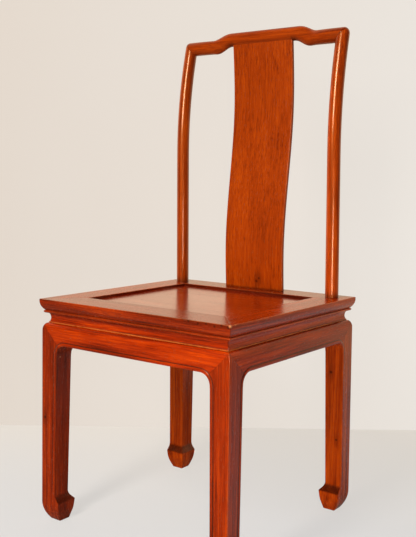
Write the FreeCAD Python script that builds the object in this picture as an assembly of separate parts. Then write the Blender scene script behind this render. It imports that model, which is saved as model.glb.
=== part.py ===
import FreeCAD, Part
import math
import os
from collections import namedtuple
from FreeCAD import Rotation, Vector

# A joined side chair with hoof feet, a waisted seat frame and an S-curved splat, in millimetres.
# The origin is on the floor under the middle of the seat, the front faces -Y, and +Z is up.

# Overall sizes
seat_width = 477.0
seat_depth = 461.0
seat_height = 457.0
overall_height = 1041.0

# Fits: the play of a tenon, tongue or dowel in its hole, and the air left at the hole's far end
joint_play = 0.15
end_air = 0.5

# Seat frame rails and their moulded edge
seat_thickness = 28.5
side_rail_width = 65.0
front_rail_width = 74.0
back_rail_width = 68.0
edge_band = 4.0
edge_round_set = 8.3
edge_round_depth = 11.0
edge_quirk = 0.8
edge_bead_radius = 2.6
rail_easing = 1.0

# Corner tenons of the seat frame, and their pegs
frame_tenon_thickness = 8.5
frame_tenon_rise = 5.5
frame_tenon_front_cover = 26.0
frame_tenon_inner_cover = 8.0
frame_tenon_end_cover = 16.0
frame_peg_diameter = 6.0
frame_peg_length = 16.0
frame_peg_side_inset = 40.0
frame_peg_edge_distance = 13.0

# Seat panel and the battens under it
panel_recess = 6.0
panel_thickness = 12.0
panel_tongue_thickness = 6.0
panel_tongue_reach = 8.0
batten_width = 30.0
batten_height = 18.0
batten_spacing = 160.0
batten_tenon_width = 22.0
batten_tenon_shoulder = 1.25
batten_tenon_reach = 12.0
dovetail_neck = 16.0
dovetail_spread = 2.0
dovetail_height = 4.0

# Waist strips
waist_height = 20.5
waist_top_inset = 13.1
waist_hollow = 3.0
waist_bead_radius = 1.3
waist_bead_inset = 13.4
waist_tongue_thickness = 4.0
waist_tongue_height = 4.0

# Aprons
apron_height = 41.5
apron_thickness = 20.0
apron_corner_radius = 22.0
apron_easing = 1.6
shoulder_set = 9.2
shoulder_drop = 15.0
apron_tongue_thickness = 5.0
apron_tongue_height = 18.0
apron_tongue_drop = 16.0
apron_tongue_cover = 10.0
apron_tongue_reach = 16.0
mitre_tip = 0.6

# Legs and hoof feet, measured inwards from the leg's outer face
leg_inset = 4.0
leg_width = 42.0
ankle_width = 37.6
ankle_height = 51.5
ankle_radius = 18.0
hoof_tip_width = 47.9
hoof_tip_height = 40.0
hoof_tip_radius = 2.2
hoof_belly_width = 45.8
hoof_belly_height = 21.0
hoof_belly_radius = 60.0
foot_outer_inset = 13.8
foot_inner_width = 39.6
foot_curve_height = 17.0
foot_curve_radius = 60.0
leg_easing = 1.2
leg_tenon_size = 16.0
leg_tenon_length = 12.0

# Round stiles, leaning forward a little and then sweeping back to the crest
back_round_diameter = 28.4
stile_side_inset = 36.4
stile_back_inset = 39.2
stile_straight = 303.0
stile_lean = 0.7
stile_tip_lean = 12.6
stile_tip_straight = 20.0
stile_dowel_diameter = 16.0
stile_dowel_length = 46.0

# Crest rail: an oval bar that leans with the stiles' tips, with a raised headrest that is set back.
# Its underside rises a little nearer to the middle than its top does.
crest_height = 32.5
crest_rise = 13.8
crest_raised_half = 89.0
crest_ramp_run = 50.0
crest_under_half = 82.5
crest_under_run = 45.0
headrest_set_back = 9.3
headrest_back_planing = 0.8
headrest_half = 80.0
headrest_run = 100.0
crest_corner_radius = 12.0
crest_corner_clear = 0.2
crest_tenon_width = 10.0
crest_tenon_depth = 8.0
crest_tenon_length = 9.0
crest_tenon_root = 12.0
crest_peg_diameter = 4.0
crest_peg_length = 18.0
crest_peg_shift = 2.0
crest_peg_rise = 4.5

# Splat
splat_foot_width = 153.0
splat_head_width = 158.0
splat_thickness = 8.5
splat_back_inset = 32.0
splat_lower_bow = 6.3
splat_upper_bow = 13.4
splat_easing = 1.5
splat_tongue_thickness = 5.0
splat_tongue_depth = 12.0
splat_tongue_cover = 10.0
splat_tongue_overlap = 30.0

# Shares of the splat's height where it bows furthest forward, crosses over and bows furthest back
splat_forward_share = 0.16
splat_crossing_share = 0.39
splat_backward_share = 0.71

# Levels
seat_bottom = seat_height - seat_thickness
apron_top = seat_bottom - waist_height
apron_bottom = apron_top - apron_height
panel_top = seat_height - panel_recess
panel_tongue_bottom = panel_top - panel_tongue_thickness
panel_bottom = panel_top - panel_thickness
stile_radius = back_round_diameter / 2
crest_half_height = crest_height / 2
headrest_half_depth = stile_radius - (headrest_set_back + headrest_back_planing) / 2
tip_lean = math.radians(stile_tip_lean)
leaning_height = crest_half_height * math.cos(tip_lean)
leaning_depth = headrest_half_depth * math.sin(tip_lean)
headrest_reach = math.hypot(leaning_height, leaning_depth)
crest_raised_level = overall_height - headrest_reach
crest_end_level = crest_raised_level - crest_rise

# Insets from the seat's outer edge
apron_back_inset = leg_inset + apron_thickness
waist_root_inset = waist_bead_inset + waist_bead_radius
waist_tongue_inset = (waist_root_inset + apron_back_inset - waist_tongue_thickness) / 2
corner_slant = math.cos(math.radians(45))
mitre_width = leg_width + apron_corner_radius * (1 - corner_slant)
mitre_drop = apron_height + apron_corner_radius * (1 - corner_slant)
mitre_reach = mitre_width + apron_thickness

# The opening that the seat panel fills, and where the battens run across it
opening_half = seat_width / 2 - side_rail_width
opening_front = front_rail_width - seat_depth / 2
opening_back = seat_depth / 2 - back_rail_width
batten_places = {"left": -batten_spacing / 2, "right": batten_spacing / 2}

# The sides of the seat in order, each turned a quarter further than the one before
Side = namedtuple("Side", "length distance rail_width turn")
sides = {
    "front": Side(seat_width, seat_depth / 2, front_rail_width, 0),
    "right": Side(seat_depth, seat_width / 2, side_rail_width, 90),
    "back": Side(seat_width, seat_depth / 2, back_rail_width, 180),
    "left": Side(seat_depth, seat_width / 2, side_rail_width, 270),
}
side_names = list(sides)
tenoned_sides = ("front", "back")

# The side at whose -X end each leg stands, as seen from that side
leg_sides = {"front_left": "front", "front_right": "right", "back_right": "back", "back_left": "left"}
front_leg_sides = ("front", "right")

# Room that cutting shapes reach past what they cut, and the smallest length that counts
reach = 30.0
tiny = 0.001
stations_per_ramp = 5

X_AXIS = Vector(1, 0, 0)
Y_AXIS = Vector(0, 1, 0)
Z_AXIS = Vector(0, 0, 1)
FULL = "full"


def section(inset, level):
    """A point of a rail's cross-section, by its inset from the seat's edge and its height."""
    return Vector(0, inset, level)


def elevation(x, level):
    """A point of a front view."""
    return Vector(x, 0, level)


def plan(x, y):
    """A point of a view from above."""
    return Vector(x, y, 0)


def corner_curve(before, corner, after, rounding):
    """Rounds a corner: an arc of a radius, an ellipse of two lengths, or a curve between its neighbours."""
    inward = (corner - before).normalize()
    outward = (after - corner).normalize()
    half_turn = inward.getAngle(outward) / 2
    if rounding == FULL:
        start, end = before, after
    elif isinstance(rounding, tuple):
        start = corner - inward * rounding[0]
        end = corner + outward * rounding[1]
    else:
        tangent_length = rounding * math.tan(half_turn)
        start = corner - inward * tangent_length
        end = corner + outward * tangent_length
        inside = (outward - inward).normalize()
        middle = corner + inside * (rounding / math.cos(half_turn) - rounding)
        return start, end, Part.Arc(start, middle, end).toShape()
    curve = Part.BezierCurve()
    curve.setPoles([start, corner, end])
    curve.setWeight(2, math.cos(half_turn))
    return start, end, curve.toShape()


def outline(view, corners):
    """A closed wire through corners given as (a, b) or, for a rounded one, (a, b, rounding)."""
    points = [view(*corner[:2]) for corner in corners]
    pieces = []
    for index, corner in enumerate(corners):
        point = points[index]
        if len(corner) == 2:
            pieces.append((point, point, None))
            continue
        after = points[(index + 1) % len(points)]
        pieces.append(corner_curve(points[index - 1], point, after, corner[2]))
    edges = []
    for index, (start, end, curve) in enumerate(pieces):
        if curve:
            edges.append(curve)
        following = pieces[(index + 1) % len(pieces)][0]
        if end.distanceToPoint(following) > tiny:
            edges.append(Part.LineSegment(end, following).toShape())
    return Part.Wire(edges)


def prism(view, corners, start, travel):
    """An outline, moved to a start and extruded along a travel."""
    face = Part.Face(outline(view, corners))
    face.translate(start)
    return face.extrude(travel)


def block(low, high):
    """A box between two opposite corners."""
    size = high - low
    return Part.makeBox(size.x, size.y, size.z, low)


def half_space(point, normal):
    """A large box with one face through a point, lying on the side that the normal points to."""
    size = 2 * (seat_width + seat_depth + overall_height)
    box = Part.makeBox(size, size, size, Vector(-size / 2, -size / 2, 0))
    box.Placement = FreeCAD.Placement(point, Rotation(Z_AXIS, normal))
    return box


def grown_block(low, high, play):
    """A box that is larger by the play on every side."""
    margin = Vector(play, play, play)
    return block(low - margin, high + margin)


def to_side(shape, side):
    """Moves a piece drawn along X, with its insets along Y, to one side of the seat."""
    placed = shape.copy()
    placed.translate(Vector(0, -sides[side].distance, 0))
    placed.rotate(Vector(), Z_AXIS, sides[side].turn)
    return placed


def mirrored(shape):
    """The left-hand twin of a right-hand shape."""
    return shape.mirror(Vector(), X_AXIS)


def one_solid(shape):
    """The single solid of a finished piece."""
    solids = shape.removeSplitter().Solids
    if len(solids) != 1:
        raise ValueError("a piece came out as %d solids" % len(solids))
    return solids[0]


def rail_profile(width):
    """The section of a seat rail: moulded edge outside, panel groove inside."""
    round_bottom = seat_bottom + 2 * edge_bead_radius + edge_quirk
    round_top = seat_height - edge_band
    round_corner = round_top - edge_round_depth
    bead_tip = edge_round_set + edge_quirk - edge_bead_radius
    bead_root = edge_round_set + edge_quirk
    bead_top = seat_bottom + 2 * edge_bead_radius
    groove_top = panel_top + joint_play
    groove_floor = width - panel_tongue_reach - end_air
    return [
        (0, seat_height, rail_easing),
        (0, round_top),
        (0, round_corner, FULL),
        (edge_round_set, round_bottom),
        (bead_root, round_bottom),
        (bead_root, bead_top),
        (bead_tip, bead_top, edge_bead_radius),
        (bead_tip, seat_bottom, edge_bead_radius),
        (width, seat_bottom),
        (width, panel_tongue_bottom - joint_play),
        (groove_floor, panel_tongue_bottom - joint_play),
        (groove_floor, groove_top),
        (width, groove_top),
        (width, seat_height, rail_easing),
    ]


def frame_tenon(side, end, play):
    """A corner tenon of the front or back rail, at its +X or -X end, grown by a play."""
    root = sides[side].length / 2 - side_rail_width - frame_tenon_inner_cover
    tip = sides[side].length / 2 - frame_tenon_end_cover
    back = sides[side].rail_width - frame_tenon_inner_cover
    level = seat_bottom + frame_tenon_rise
    low = Vector(root, frame_tenon_front_cover, level)
    high = Vector(tip, back, level + frame_tenon_thickness)
    tenon = grown_block(low, high, play)
    return to_side(tenon if end > 0 else mirrored(tenon), side)


def frame_pegs():
    """The four pegs that lock the corner tenons from below, each with its hole."""
    pegs = []
    holes = []
    radius = frame_peg_diameter / 2
    for side in tenoned_sides:
        x = sides[side].length / 2 - frame_peg_side_inset
        y = sides[side].rail_width - frame_peg_edge_distance
        for end in (-1, 1):
            foot = Vector(end * x, y, seat_bottom)
            pegs.append(to_side(Part.makeCylinder(radius, frame_peg_length, foot), side))
            hole = Part.makeCylinder(radius + joint_play, frame_peg_length + end_air, foot)
            holes.append(to_side(hole, side))
    return pegs, holes


def batten_tenons(x, play):
    """The two tenons of a batten, in the front and back rails."""
    half_height = (panel_bottom - seat_bottom) / 2 - batten_tenon_shoulder
    half = Vector(batten_tenon_width / 2, batten_tenon_reach, half_height)
    level = (panel_bottom + seat_bottom) / 2
    middles = [Vector(x, y, level) for y in (opening_front, opening_back)]
    return [grown_block(middle - half, middle + half, play) for middle in middles]


def dovetail(x, start, end, play):
    """The dovetail ridge along the top of a batten, which slides into the panel's underside."""
    neck = dovetail_neck / 2 + play
    head = neck + dovetail_spread
    top = panel_bottom + dovetail_height + play
    corners = [(x - neck, panel_bottom), (x + neck, panel_bottom), (x + head, top), (x - head, top)]
    return prism(elevation, corners, Vector(0, start, 0), Vector(0, end - start, 0))


def batten(x):
    """A batten under the panel, dovetailed to it and tenoned into the front and back rails."""
    half = batten_width / 2
    bar = block(
        Vector(x - half, opening_front, panel_bottom - batten_height),
        Vector(x + half, opening_back, panel_bottom))
    ridge = dovetail(x, opening_front + end_air, opening_back - end_air, 0)
    return one_solid(bar.fuse([ridge] + batten_tenons(x, 0)))


def seat_panel():
    """The floating panel: a board with a tongue all round its top and two dovetail grooves below."""
    def layer(spread, bottom):
        low = Vector(-opening_half - spread, opening_front - spread, bottom)
        return block(low, Vector(opening_half + spread, opening_back + spread, panel_top))

    board = layer(-joint_play, panel_bottom).fuse(layer(panel_tongue_reach, panel_tongue_bottom))
    ends = (opening_front - reach, opening_back + reach)
    grooves = [dovetail(x, *ends, joint_play) for x in batten_places.values()]
    return one_solid(board.cut(grooves))


def leg_place(side):
    """The corner where a leg's outer faces meet, drawn for the -X end of a side."""
    return Vector(leg_inset - sides[side].length / 2, leg_inset, 0)


def leg_tenon(side, play):
    """The tenon on a front leg's head, in the corner of the seat frame."""
    start = (apron_thickness + mitre_width - leg_tenon_size) / 2
    low = leg_place(side) + Vector(start, start, seat_bottom)
    high = low + Vector(leg_tenon_size, leg_tenon_size, leg_tenon_length)
    return to_side(grown_block(low, high, play), side)


StileLine = namedtuple("StileLine", "path start direction foot corner tip_direction")


def stile_line():
    """The middle line of the right stile, run on below the seat's top and above the corner with the crest."""
    lean = math.radians(-stile_lean)
    tip = tip_lean
    x = seat_width / 2 - stile_side_inset
    foot = Vector(x, seat_depth / 2 - stile_back_inset, seat_height)
    start_direction = Vector(0, math.sin(lean), math.cos(lean))
    end_direction = Vector(0, math.sin(tip), math.cos(tip))
    bend_start = foot + start_direction * stile_straight
    rise = crest_end_level - bend_start.z - stile_tip_straight * math.cos(tip)
    radius = rise / (math.sin(tip) - math.sin(lean))

    def on_bend(angle):
        back = radius * (math.cos(lean) - math.cos(angle))
        up = radius * (math.sin(angle) - math.sin(lean))
        return bend_start + Vector(0, back, up)

    bend_end = on_bend(tip)
    corner = bend_end + end_direction * stile_tip_straight
    below = foot - start_direction * reach
    above = corner + end_direction * reach
    path = Part.Wire([
        Part.LineSegment(below, bend_start).toShape(),
        Part.Arc(bend_start, on_bend((lean + tip) / 2), bend_end).toShape(),
        Part.LineSegment(bend_end, above).toShape(),
    ])
    return StileLine(path, below, start_direction, foot, corner, end_direction)


def stile_dowel(play):
    """The round tenon under the right stile, through the seat frame and into the leg's head."""
    air = end_air if play else 0
    base = stile_line().foot - Z_AXIS * (stile_dowel_length + air)
    return Part.makeCylinder(stile_dowel_diameter / 2 + play, stile_dowel_length + air, base)


def crest_corner_frame(shape):
    """Moves a shape drawn about the origin, with Z along the stile, to the right top corner."""
    placed = shape.copy()
    placed.rotate(Vector(), X_AXIS, -stile_tip_lean)
    placed.translate(stile_line().corner)
    return placed


def crest_tenon(play):
    """The tenon on the right stile's mitred top, inside the crest rail's end."""
    air = end_air if play else 0
    half_width = crest_tenon_width / 2 + play
    half_depth = crest_tenon_depth / 2 + play
    tenon = block(
        Vector(-half_width, -half_depth, -crest_tenon_root),
        Vector(half_width, half_depth, crest_tenon_length + air))
    return crest_corner_frame(tenon)


def crest_peg(play):
    """The peg through the right crest corner and its tenon, driven from behind."""
    air = end_air if play else 0
    peg_top = crest_peg_rise + crest_peg_diameter / 2
    back_face = stile_radius * math.sqrt(1 - (peg_top / crest_half_height) ** 2)
    start = Vector(-crest_peg_shift, back_face - crest_peg_length - air, crest_peg_rise)
    length = crest_peg_length + (reach if play else 0)
    return crest_corner_frame(Part.makeCylinder(crest_peg_diameter / 2 + play, length, start, Y_AXIS))


def crest_corner_round():
    """What is cut away to round the right top corner where crest and stile meet."""
    set_in = crest_corner_radius - crest_corner_clear
    inner = Vector(stile_radius - set_in, -reach, crest_half_height - set_in)
    size = crest_corner_radius + reach
    corner = Part.makeBox(size, 2 * reach, size, inner)
    rounding = Part.makeCylinder(crest_corner_radius, 2 * reach, inner, Y_AXIS)
    return crest_corner_frame(corner.cut(rounding))


def mitre_plane(towards_stile):
    """The half of space on the crest's or the stile's side of the right top corner's mitre."""
    line = stile_line()
    normal = X_AXIS * crest_half_height - line.tip_direction * stile_radius
    return half_space(line.corner, normal if towards_stile else normal * -1)


def right_stile():
    """The right stile: a round bar with a mitred top and its tenon, and a long dowel below the seat."""
    line = stile_line()
    ring = Part.Wire(Part.makeCircle(stile_radius, line.start, line.direction))
    bar = line.path.makePipeShell([ring], True, False)
    bar = bar.common(half_space(Vector(0, 0, seat_height), Z_AXIS))
    bar = bar.common(mitre_plane(True)).cut(crest_corner_round())
    bar = bar.fuse([crest_tenon(0), stile_dowel(0)])
    return one_solid(bar.cut(crest_peg(joint_play)))


def fading_share(x, start, run):
    """1 up to a distance from the middle, then falling to 0 over a run, as half a cosine wave does."""
    part = min(max((abs(x) - start) / run, 0), 1)
    return (1 + math.cos(math.pi * part)) / 2


def crest_ring(x, play):
    """The crest rail's upright section at a distance from the middle: an oval that leans back."""
    line = stile_line()
    raised = fading_share(x, crest_raised_half, crest_ramp_run)
    under = fading_share(x, crest_under_half, crest_under_run)
    ramp = crest_rise * (fading_share(x + tiny, crest_raised_half, crest_ramp_run) - raised) / tiny
    headrest = fading_share(x, headrest_half, headrest_run)
    back_shift = (headrest_set_back - headrest_back_planing) / 2 * headrest
    half_depth = stile_radius - (stile_radius - headrest_half_depth) * headrest + play
    half_height = crest_half_height * math.hypot(1, ramp) + crest_rise * (raised - under) / 2 + play
    middle = Vector(x, line.corner.y + back_shift, crest_end_level + crest_rise * (raised + under) / 2)
    behind = line.tip_direction.cross(X_AXIS) * -1
    oval = Part.Ellipse(middle + line.tip_direction * half_height, middle + behind * half_depth, middle)
    return Part.Wire(oval.toShape())


def crest_bar(play):
    """The whole crest bar through even stations, run on past both corners, grown by a play."""
    end = stile_line().corner.x + reach
    count = math.ceil(end / crest_ramp_run * stations_per_ramp)
    stations = [end * step / count for step in range(-count, count + 1)]
    return Part.makeLoft([crest_ring(x, play) for x in stations], True)


def crest_rail():
    """The crest rail: the bar mitred to both stiles, with a groove below for the splat's tongue."""
    keep = mitre_plane(False)
    bar = crest_bar(0).common(keep).common(mirrored(keep))
    cuts = [crest_corner_round(), crest_tenon(joint_play), crest_peg(joint_play)]
    cuts += [mirrored(cut) for cut in cuts]
    return one_solid(bar.cut(cuts + [splat_head_tongue(joint_play)]))


def splat_line():
    """The splat's middle line in a side view, from the seat to its head inside the crest rail."""
    bottom = Vector(0, seat_depth / 2 - splat_back_inset, seat_height)
    top = Vector(0, stile_line().corner.y, crest_raised_level)

    def station(share, bow):
        return bottom + (top - bottom) * share + Vector(0, bow, 0)

    stations = [
        bottom,
        station(splat_forward_share, -splat_lower_bow),
        station(splat_crossing_share, 0),
        station(splat_backward_share, splat_upper_bow),
        top,
    ]
    curve = Part.BSplineCurve()
    curve.interpolate(stations)
    return curve, bottom, top


def splat_board(thickness, cover, play):
    """The S-curved board, wider at its head, less a cover on both sides and grown by a play."""
    curve, bottom, top = splat_line()
    half = thickness / 2 + play
    front = curve.toShape()
    front.translate(Vector(0, -half, 0))
    back = curve.toShape()
    back.translate(Vector(0, half, 0))
    step = Vector(0, half, 0)
    side = Part.Face(Part.Wire([
        front,
        Part.LineSegment(top - step, top + step).toShape(),
        back,
        Part.LineSegment(bottom + step, bottom - step).toShape(),
    ]))
    room = splat_head_width + splat_foot_width
    side.translate(Vector(-room, 0, 0))
    board = side.extrude(Vector(2 * room, 0, 0))
    foot_half = splat_foot_width / 2 - cover + play
    head_half = splat_head_width / 2 - cover + play
    corners = [(-foot_half, bottom.z), (foot_half, bottom.z), (head_half, top.z), (-head_half, top.z)]
    return board.common(prism(elevation, corners, Vector(), Vector(0, seat_depth, 0)))


def splat_tongue(play):
    """The tongue under the splat, in the top of the back rail."""
    curve, bottom, top = splat_line()
    half_width = splat_foot_width / 2 - splat_tongue_cover
    half = splat_tongue_thickness / 2
    air = end_air if play else 0
    low = Vector(-half_width, bottom.y - half, seat_height - splat_tongue_depth - air)
    high = Vector(half_width, bottom.y + half, seat_height)
    margin = Vector(play, play, 0)
    return block(low - margin, high + margin)


def splat_head_tongue(play):
    """The thin tongue on the splat's head, in the crest rail, run down into the board that it grows from."""
    tongue = splat_board(splat_tongue_thickness, splat_tongue_cover, play)
    root = Vector(0, 0, crest_end_level - splat_tongue_overlap)
    tongue = tongue.common(half_space(root, Z_AXIS))
    air = end_air if play else 0
    return tongue.fuse(tongue.translated(Vector(0, 0, air))) if air else tongue


def splat():
    """The splat with eased long edges, a head scribed to the crest rail, and a tongue at either end."""
    board = splat_board(splat_thickness, 0, 0).removeSplitter()
    long_edges = [edge for edge in board.Edges if edge.BoundBox.ZLength > edge.BoundBox.XLength * 2]
    board = board.makeFillet(splat_easing, long_edges)
    board = board.cut(crest_bar(joint_play))
    return one_solid(board.fuse([splat_head_tongue(0), splat_tongue(0)]))


def seat_rails():
    """The four rails of the seat frame by side, cut for everything that enters them."""
    dowel = stile_dowel(joint_play)
    shared_cuts = [dowel, mirrored(dowel), splat_tongue(joint_play), upper_waist_groove()]
    shared_cuts += frame_pegs()[1]
    shared_cuts += [leg_tenon(side, joint_play) for side in front_leg_sides]
    for x in batten_places.values():
        shared_cuts += batten_tenons(x, joint_play)
    mortises = [frame_tenon(side, end, joint_play) for side in tenoned_sides for end in (-1, 1)]
    rails = {}
    for index, side in enumerate(side_names):
        length = sides[side].length
        width = sides[side].rail_width
        width_before = sides[side_names[index - 1]].rail_width
        width_after = sides[side_names[(index + 1) % len(side_names)]].rail_width
        corners = [
            (-length / 2, 0), (length / 2, 0),
            (length / 2 - width_after, width), (width_before - length / 2, width),
        ]
        bar = prism(section, rail_profile(width), Vector(-length / 2, 0, 0), Vector(length, 0, 0))
        bar = bar.common(prism(plan, corners, Vector(), Vector(0, 0, overall_height)))
        bar = to_side(bar, side)
        if side in tenoned_sides:
            bar = bar.fuse([frame_tenon(side, end, 0) for end in (-1, 1)])
        else:
            bar = bar.cut(mortises)
        rails[side] = one_solid(bar.cut(shared_cuts))
    return rails


def corner_mitre(piece, length):
    """A piece along X with both ends cut at 45 degrees in plan, from the outer edge inwards."""
    corners = [(-length / 2, 0), (length / 2, 0), (0, length / 2)]
    return piece.common(prism(plan, corners, Vector(), Vector(0, 0, overall_height)))


def waist_strip(side):
    """A waist strip: hollow face with a small bead at its foot, and tongues above and below."""
    length = sides[side].length
    bead_top = apron_top + 2 * waist_bead_radius
    hollow_level = (seat_bottom + bead_top) / 2
    hollow_inset = (waist_top_inset + waist_root_inset) / 2 + 2 * waist_hollow
    tongue_end = waist_tongue_inset + waist_tongue_thickness
    corners = [
        (waist_top_inset, seat_bottom),
        (hollow_inset, hollow_level, FULL),
        (waist_root_inset, bead_top),
        (waist_bead_inset, bead_top, waist_bead_radius),
        (waist_bead_inset, apron_top, waist_bead_radius),
        (waist_tongue_inset, apron_top),
        (waist_tongue_inset, apron_top - waist_tongue_height),
        (tongue_end, apron_top - waist_tongue_height),
        (tongue_end, apron_top),
        (apron_back_inset, apron_top),
        (apron_back_inset, seat_bottom),
        (tongue_end, seat_bottom),
        (tongue_end, seat_bottom + waist_tongue_height),
        (waist_tongue_inset, seat_bottom + waist_tongue_height),
        (waist_tongue_inset, seat_bottom),
    ]
    bar = prism(section, corners, Vector(-length / 2, 0, 0), Vector(length, 0, 0))
    return one_solid(to_side(corner_mitre(bar, length), side))


def waist_groove(bottom, top):
    """A groove for the waist strips' tongues, all round the seat, between two levels."""
    def inside(inset):
        half = Vector(seat_width / 2 - inset, seat_depth / 2 - inset, 0)
        return block(Vector(0, 0, bottom) - half, Vector(0, 0, top) + half)

    outer = inside(waist_tongue_inset - joint_play)
    return outer.cut(inside(waist_tongue_inset + waist_tongue_thickness + joint_play))


def upper_waist_groove():
    """The groove under the seat frame."""
    return waist_groove(seat_bottom - end_air, seat_bottom + waist_tongue_height + end_air)


def lower_waist_groove():
    """The groove in the tops of the aprons and legs."""
    return waist_groove(apron_top - waist_tongue_height - end_air, apron_top + end_air)


def apron_mitre():
    """The half of space on the leg's side of an apron's mitre. The leg's outer faces lie at X and Y zero."""
    inward_line = Vector(1, 1, 0)
    down_line = Vector(mitre_width - mitre_tip, 0, -mitre_drop)
    return half_space(Vector(mitre_tip, 0, apron_top), inward_line.cross(down_line))


def apron_tongue(side, end, play):
    """The tongue on an apron's end, inside the leg."""
    air = end_air if play else 0
    place = leg_place(side)
    place.z = apron_top - apron_tongue_drop
    low = place + Vector(apron_tongue_reach - air, apron_tongue_cover, -apron_tongue_height)
    high = place + Vector(mitre_reach, apron_tongue_cover + apron_tongue_thickness, 0)
    margin = Vector(0, play, play)
    tongue = block(low - margin, high + margin)
    return tongue if end < 0 else mirrored(tongue)


def apron(side):
    """An apron: rounded shoulder above, rounded inner corners below, mitred and tongued into the legs."""
    half = sides[side].length / 2 - leg_inset
    inner = half - leg_width
    low = apron_bottom - 2 * apron_corner_radius
    profile = [
        (leg_inset, apron_top, (shoulder_set, shoulder_drop)),
        (leg_inset, low),
        (apron_back_inset, low),
        (apron_back_inset, apron_top),
    ]
    front_view = [
        (-half, apron_top), (half, apron_top), (half, low),
        (inner, low), (inner, apron_bottom, apron_corner_radius),
        (-inner, apron_bottom, apron_corner_radius), (-inner, low), (-half, low),
    ]
    board = prism(section, profile, Vector(-half, 0, 0), Vector(2 * half, 0, 0))
    shape = prism(elevation, front_view, Vector(), Vector(0, apron_back_inset + reach, 0))
    board = board.common(shape).removeSplitter()
    arris = [edge for edge in board.Edges if on_apron_arris(edge, inner)]
    board = board.makeFillet(apron_easing, arris)
    mitre = apron_mitre()
    mitre.translate(leg_place(side))
    board = board.cut([mitre, mirrored(mitre)])
    board = board.fuse([apron_tongue(side, end, 0) for end in (-1, 1)])
    return one_solid(to_side(board, side).cut(lower_waist_groove()))


def on_apron_arris(edge, inner):
    """True for the edges along the apron's lower front, round both corners."""
    box = edge.BoundBox
    at_front = box.YMax < leg_inset + tiny
    inside = max(abs(box.XMin), abs(box.XMax)) < inner + tiny
    return at_front and inside and box.ZMax < apron_bottom + tiny


def leg_profile():
    """A leg's side view, by distance from its outer face and height: curved foot, hoof tip, inner taper."""
    wide = mitre_reach + apron_corner_radius
    return [
        (foot_outer_inset, 0),
        (foot_inner_width, 0),
        (hoof_belly_width, hoof_belly_height, hoof_belly_radius),
        (hoof_tip_width, hoof_tip_height, hoof_tip_radius),
        (ankle_width, ankle_height, ankle_radius),
        (leg_width, apron_bottom, apron_corner_radius),
        (wide, apron_bottom),
        (wide, apron_top),
        (0, apron_top, (shoulder_set, shoulder_drop)),
        (0, foot_curve_height, foot_curve_radius),
    ]


def on_leg_arris(edge):
    """True for the edges of a leg's four long corners that show below the apron."""
    box = edge.BoundBox
    middle = (apron_bottom + ankle_height) / 2
    return box.ZMin < middle < box.ZMax


def leg_blank():
    """A leg sawn to one side view from two sides, eased, mitred for the aprons, with its head."""
    room = mitre_reach + apron_corner_radius
    from_front = prism(elevation, leg_profile(), Vector(), Vector(0, room, 0))
    from_side = prism(section, leg_profile(), Vector(), Vector(room, 0, 0))
    blank = from_front.common(from_side).removeSplitter()
    arris = [edge for edge in blank.Edges if on_leg_arris(edge)]
    blank = blank.makeFillet(leg_easing, arris)
    corners = [
        (0, 0), (mitre_reach, 0), (mitre_reach, apron_thickness),
        (mitre_width, apron_thickness), (mitre_width, mitre_width), (apron_thickness, mitre_width),
        (apron_thickness, mitre_reach), (0, mitre_reach),
    ]
    blank = blank.common(prism(plan, corners, Vector(), Vector(0, 0, apron_top)))
    mitre = apron_mitre()
    blank = blank.common(mitre).common(mitre.mirror(Vector(), Vector(1, -1, 0)))
    head = block(
        Vector(apron_thickness, apron_thickness, apron_bottom),
        Vector(mitre_width, mitre_width, seat_bottom))
    return blank.fuse(head)


def leg(side):
    """The leg at the -X end of a side, seen from that side, cut for the two aprons and the waist strips."""
    before = side_names[side_names.index(side) - 1]
    blank = leg_blank()
    blank.translate(leg_place(side))
    blank = to_side(blank, side)
    cuts = [lower_waist_groove()]
    cuts.append(to_side(apron_tongue(side, -1, joint_play), side))
    cuts.append(to_side(apron_tongue(before, 1, joint_play), before))
    if side in front_leg_sides:
        blank = blank.fuse(leg_tenon(side, 0))
    else:
        dowel = stile_dowel(joint_play)
        cuts += [dowel, mirrored(dowel)]
    return one_solid(blank.cut(cuts))


def build():
    """Every piece of the chair by its name."""
    pieces = {}
    for side, rail in seat_rails().items():
        pieces[side + "_seat_rail"] = rail
    pieces["seat_panel"] = seat_panel()
    for name, x in batten_places.items():
        pieces[name + "_panel_batten"] = batten(x)
    for side in side_names:
        pieces[side + "_waist_strip"] = waist_strip(side)
        pieces[side + "_apron"] = apron(side)
    for name, side in leg_sides.items():
        pieces[name + "_leg"] = leg(side)
    pieces["right_stile"] = right_stile()
    pieces["left_stile"] = mirrored(pieces["right_stile"])
    pieces["crest_rail"] = crest_rail()
    pieces["splat"] = splat()
    pieces["frame_pegs"] = Part.makeCompound(frame_pegs()[0])
    pieces["crest_pegs"] = Part.makeCompound([crest_peg(0), mirrored(crest_peg(0))])
    return pieces


os.makedirs("parts", exist_ok=True)
for piece_name, piece_shape in build().items():
    piece_shape.exportStep("parts/" + piece_name + ".step")
    print(piece_name, round(piece_shape.Volume), piece_shape.isValid())
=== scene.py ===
# %% [markdown]
# # A joined side chair, dressed in Blender
# The packed model gives every piece of the chair as a plain solid. This lesson keeps the solids whose shape
# is already right, and makes a finer surface for each other piece: eased edges, the raised bead round the
# openings, hairlines at the joints, and lacquered rosewood with its grain along the piece.

# %% Load the frame
import math

import bpy
import numpy as np
from mathutils import Matrix, Vector


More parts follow.
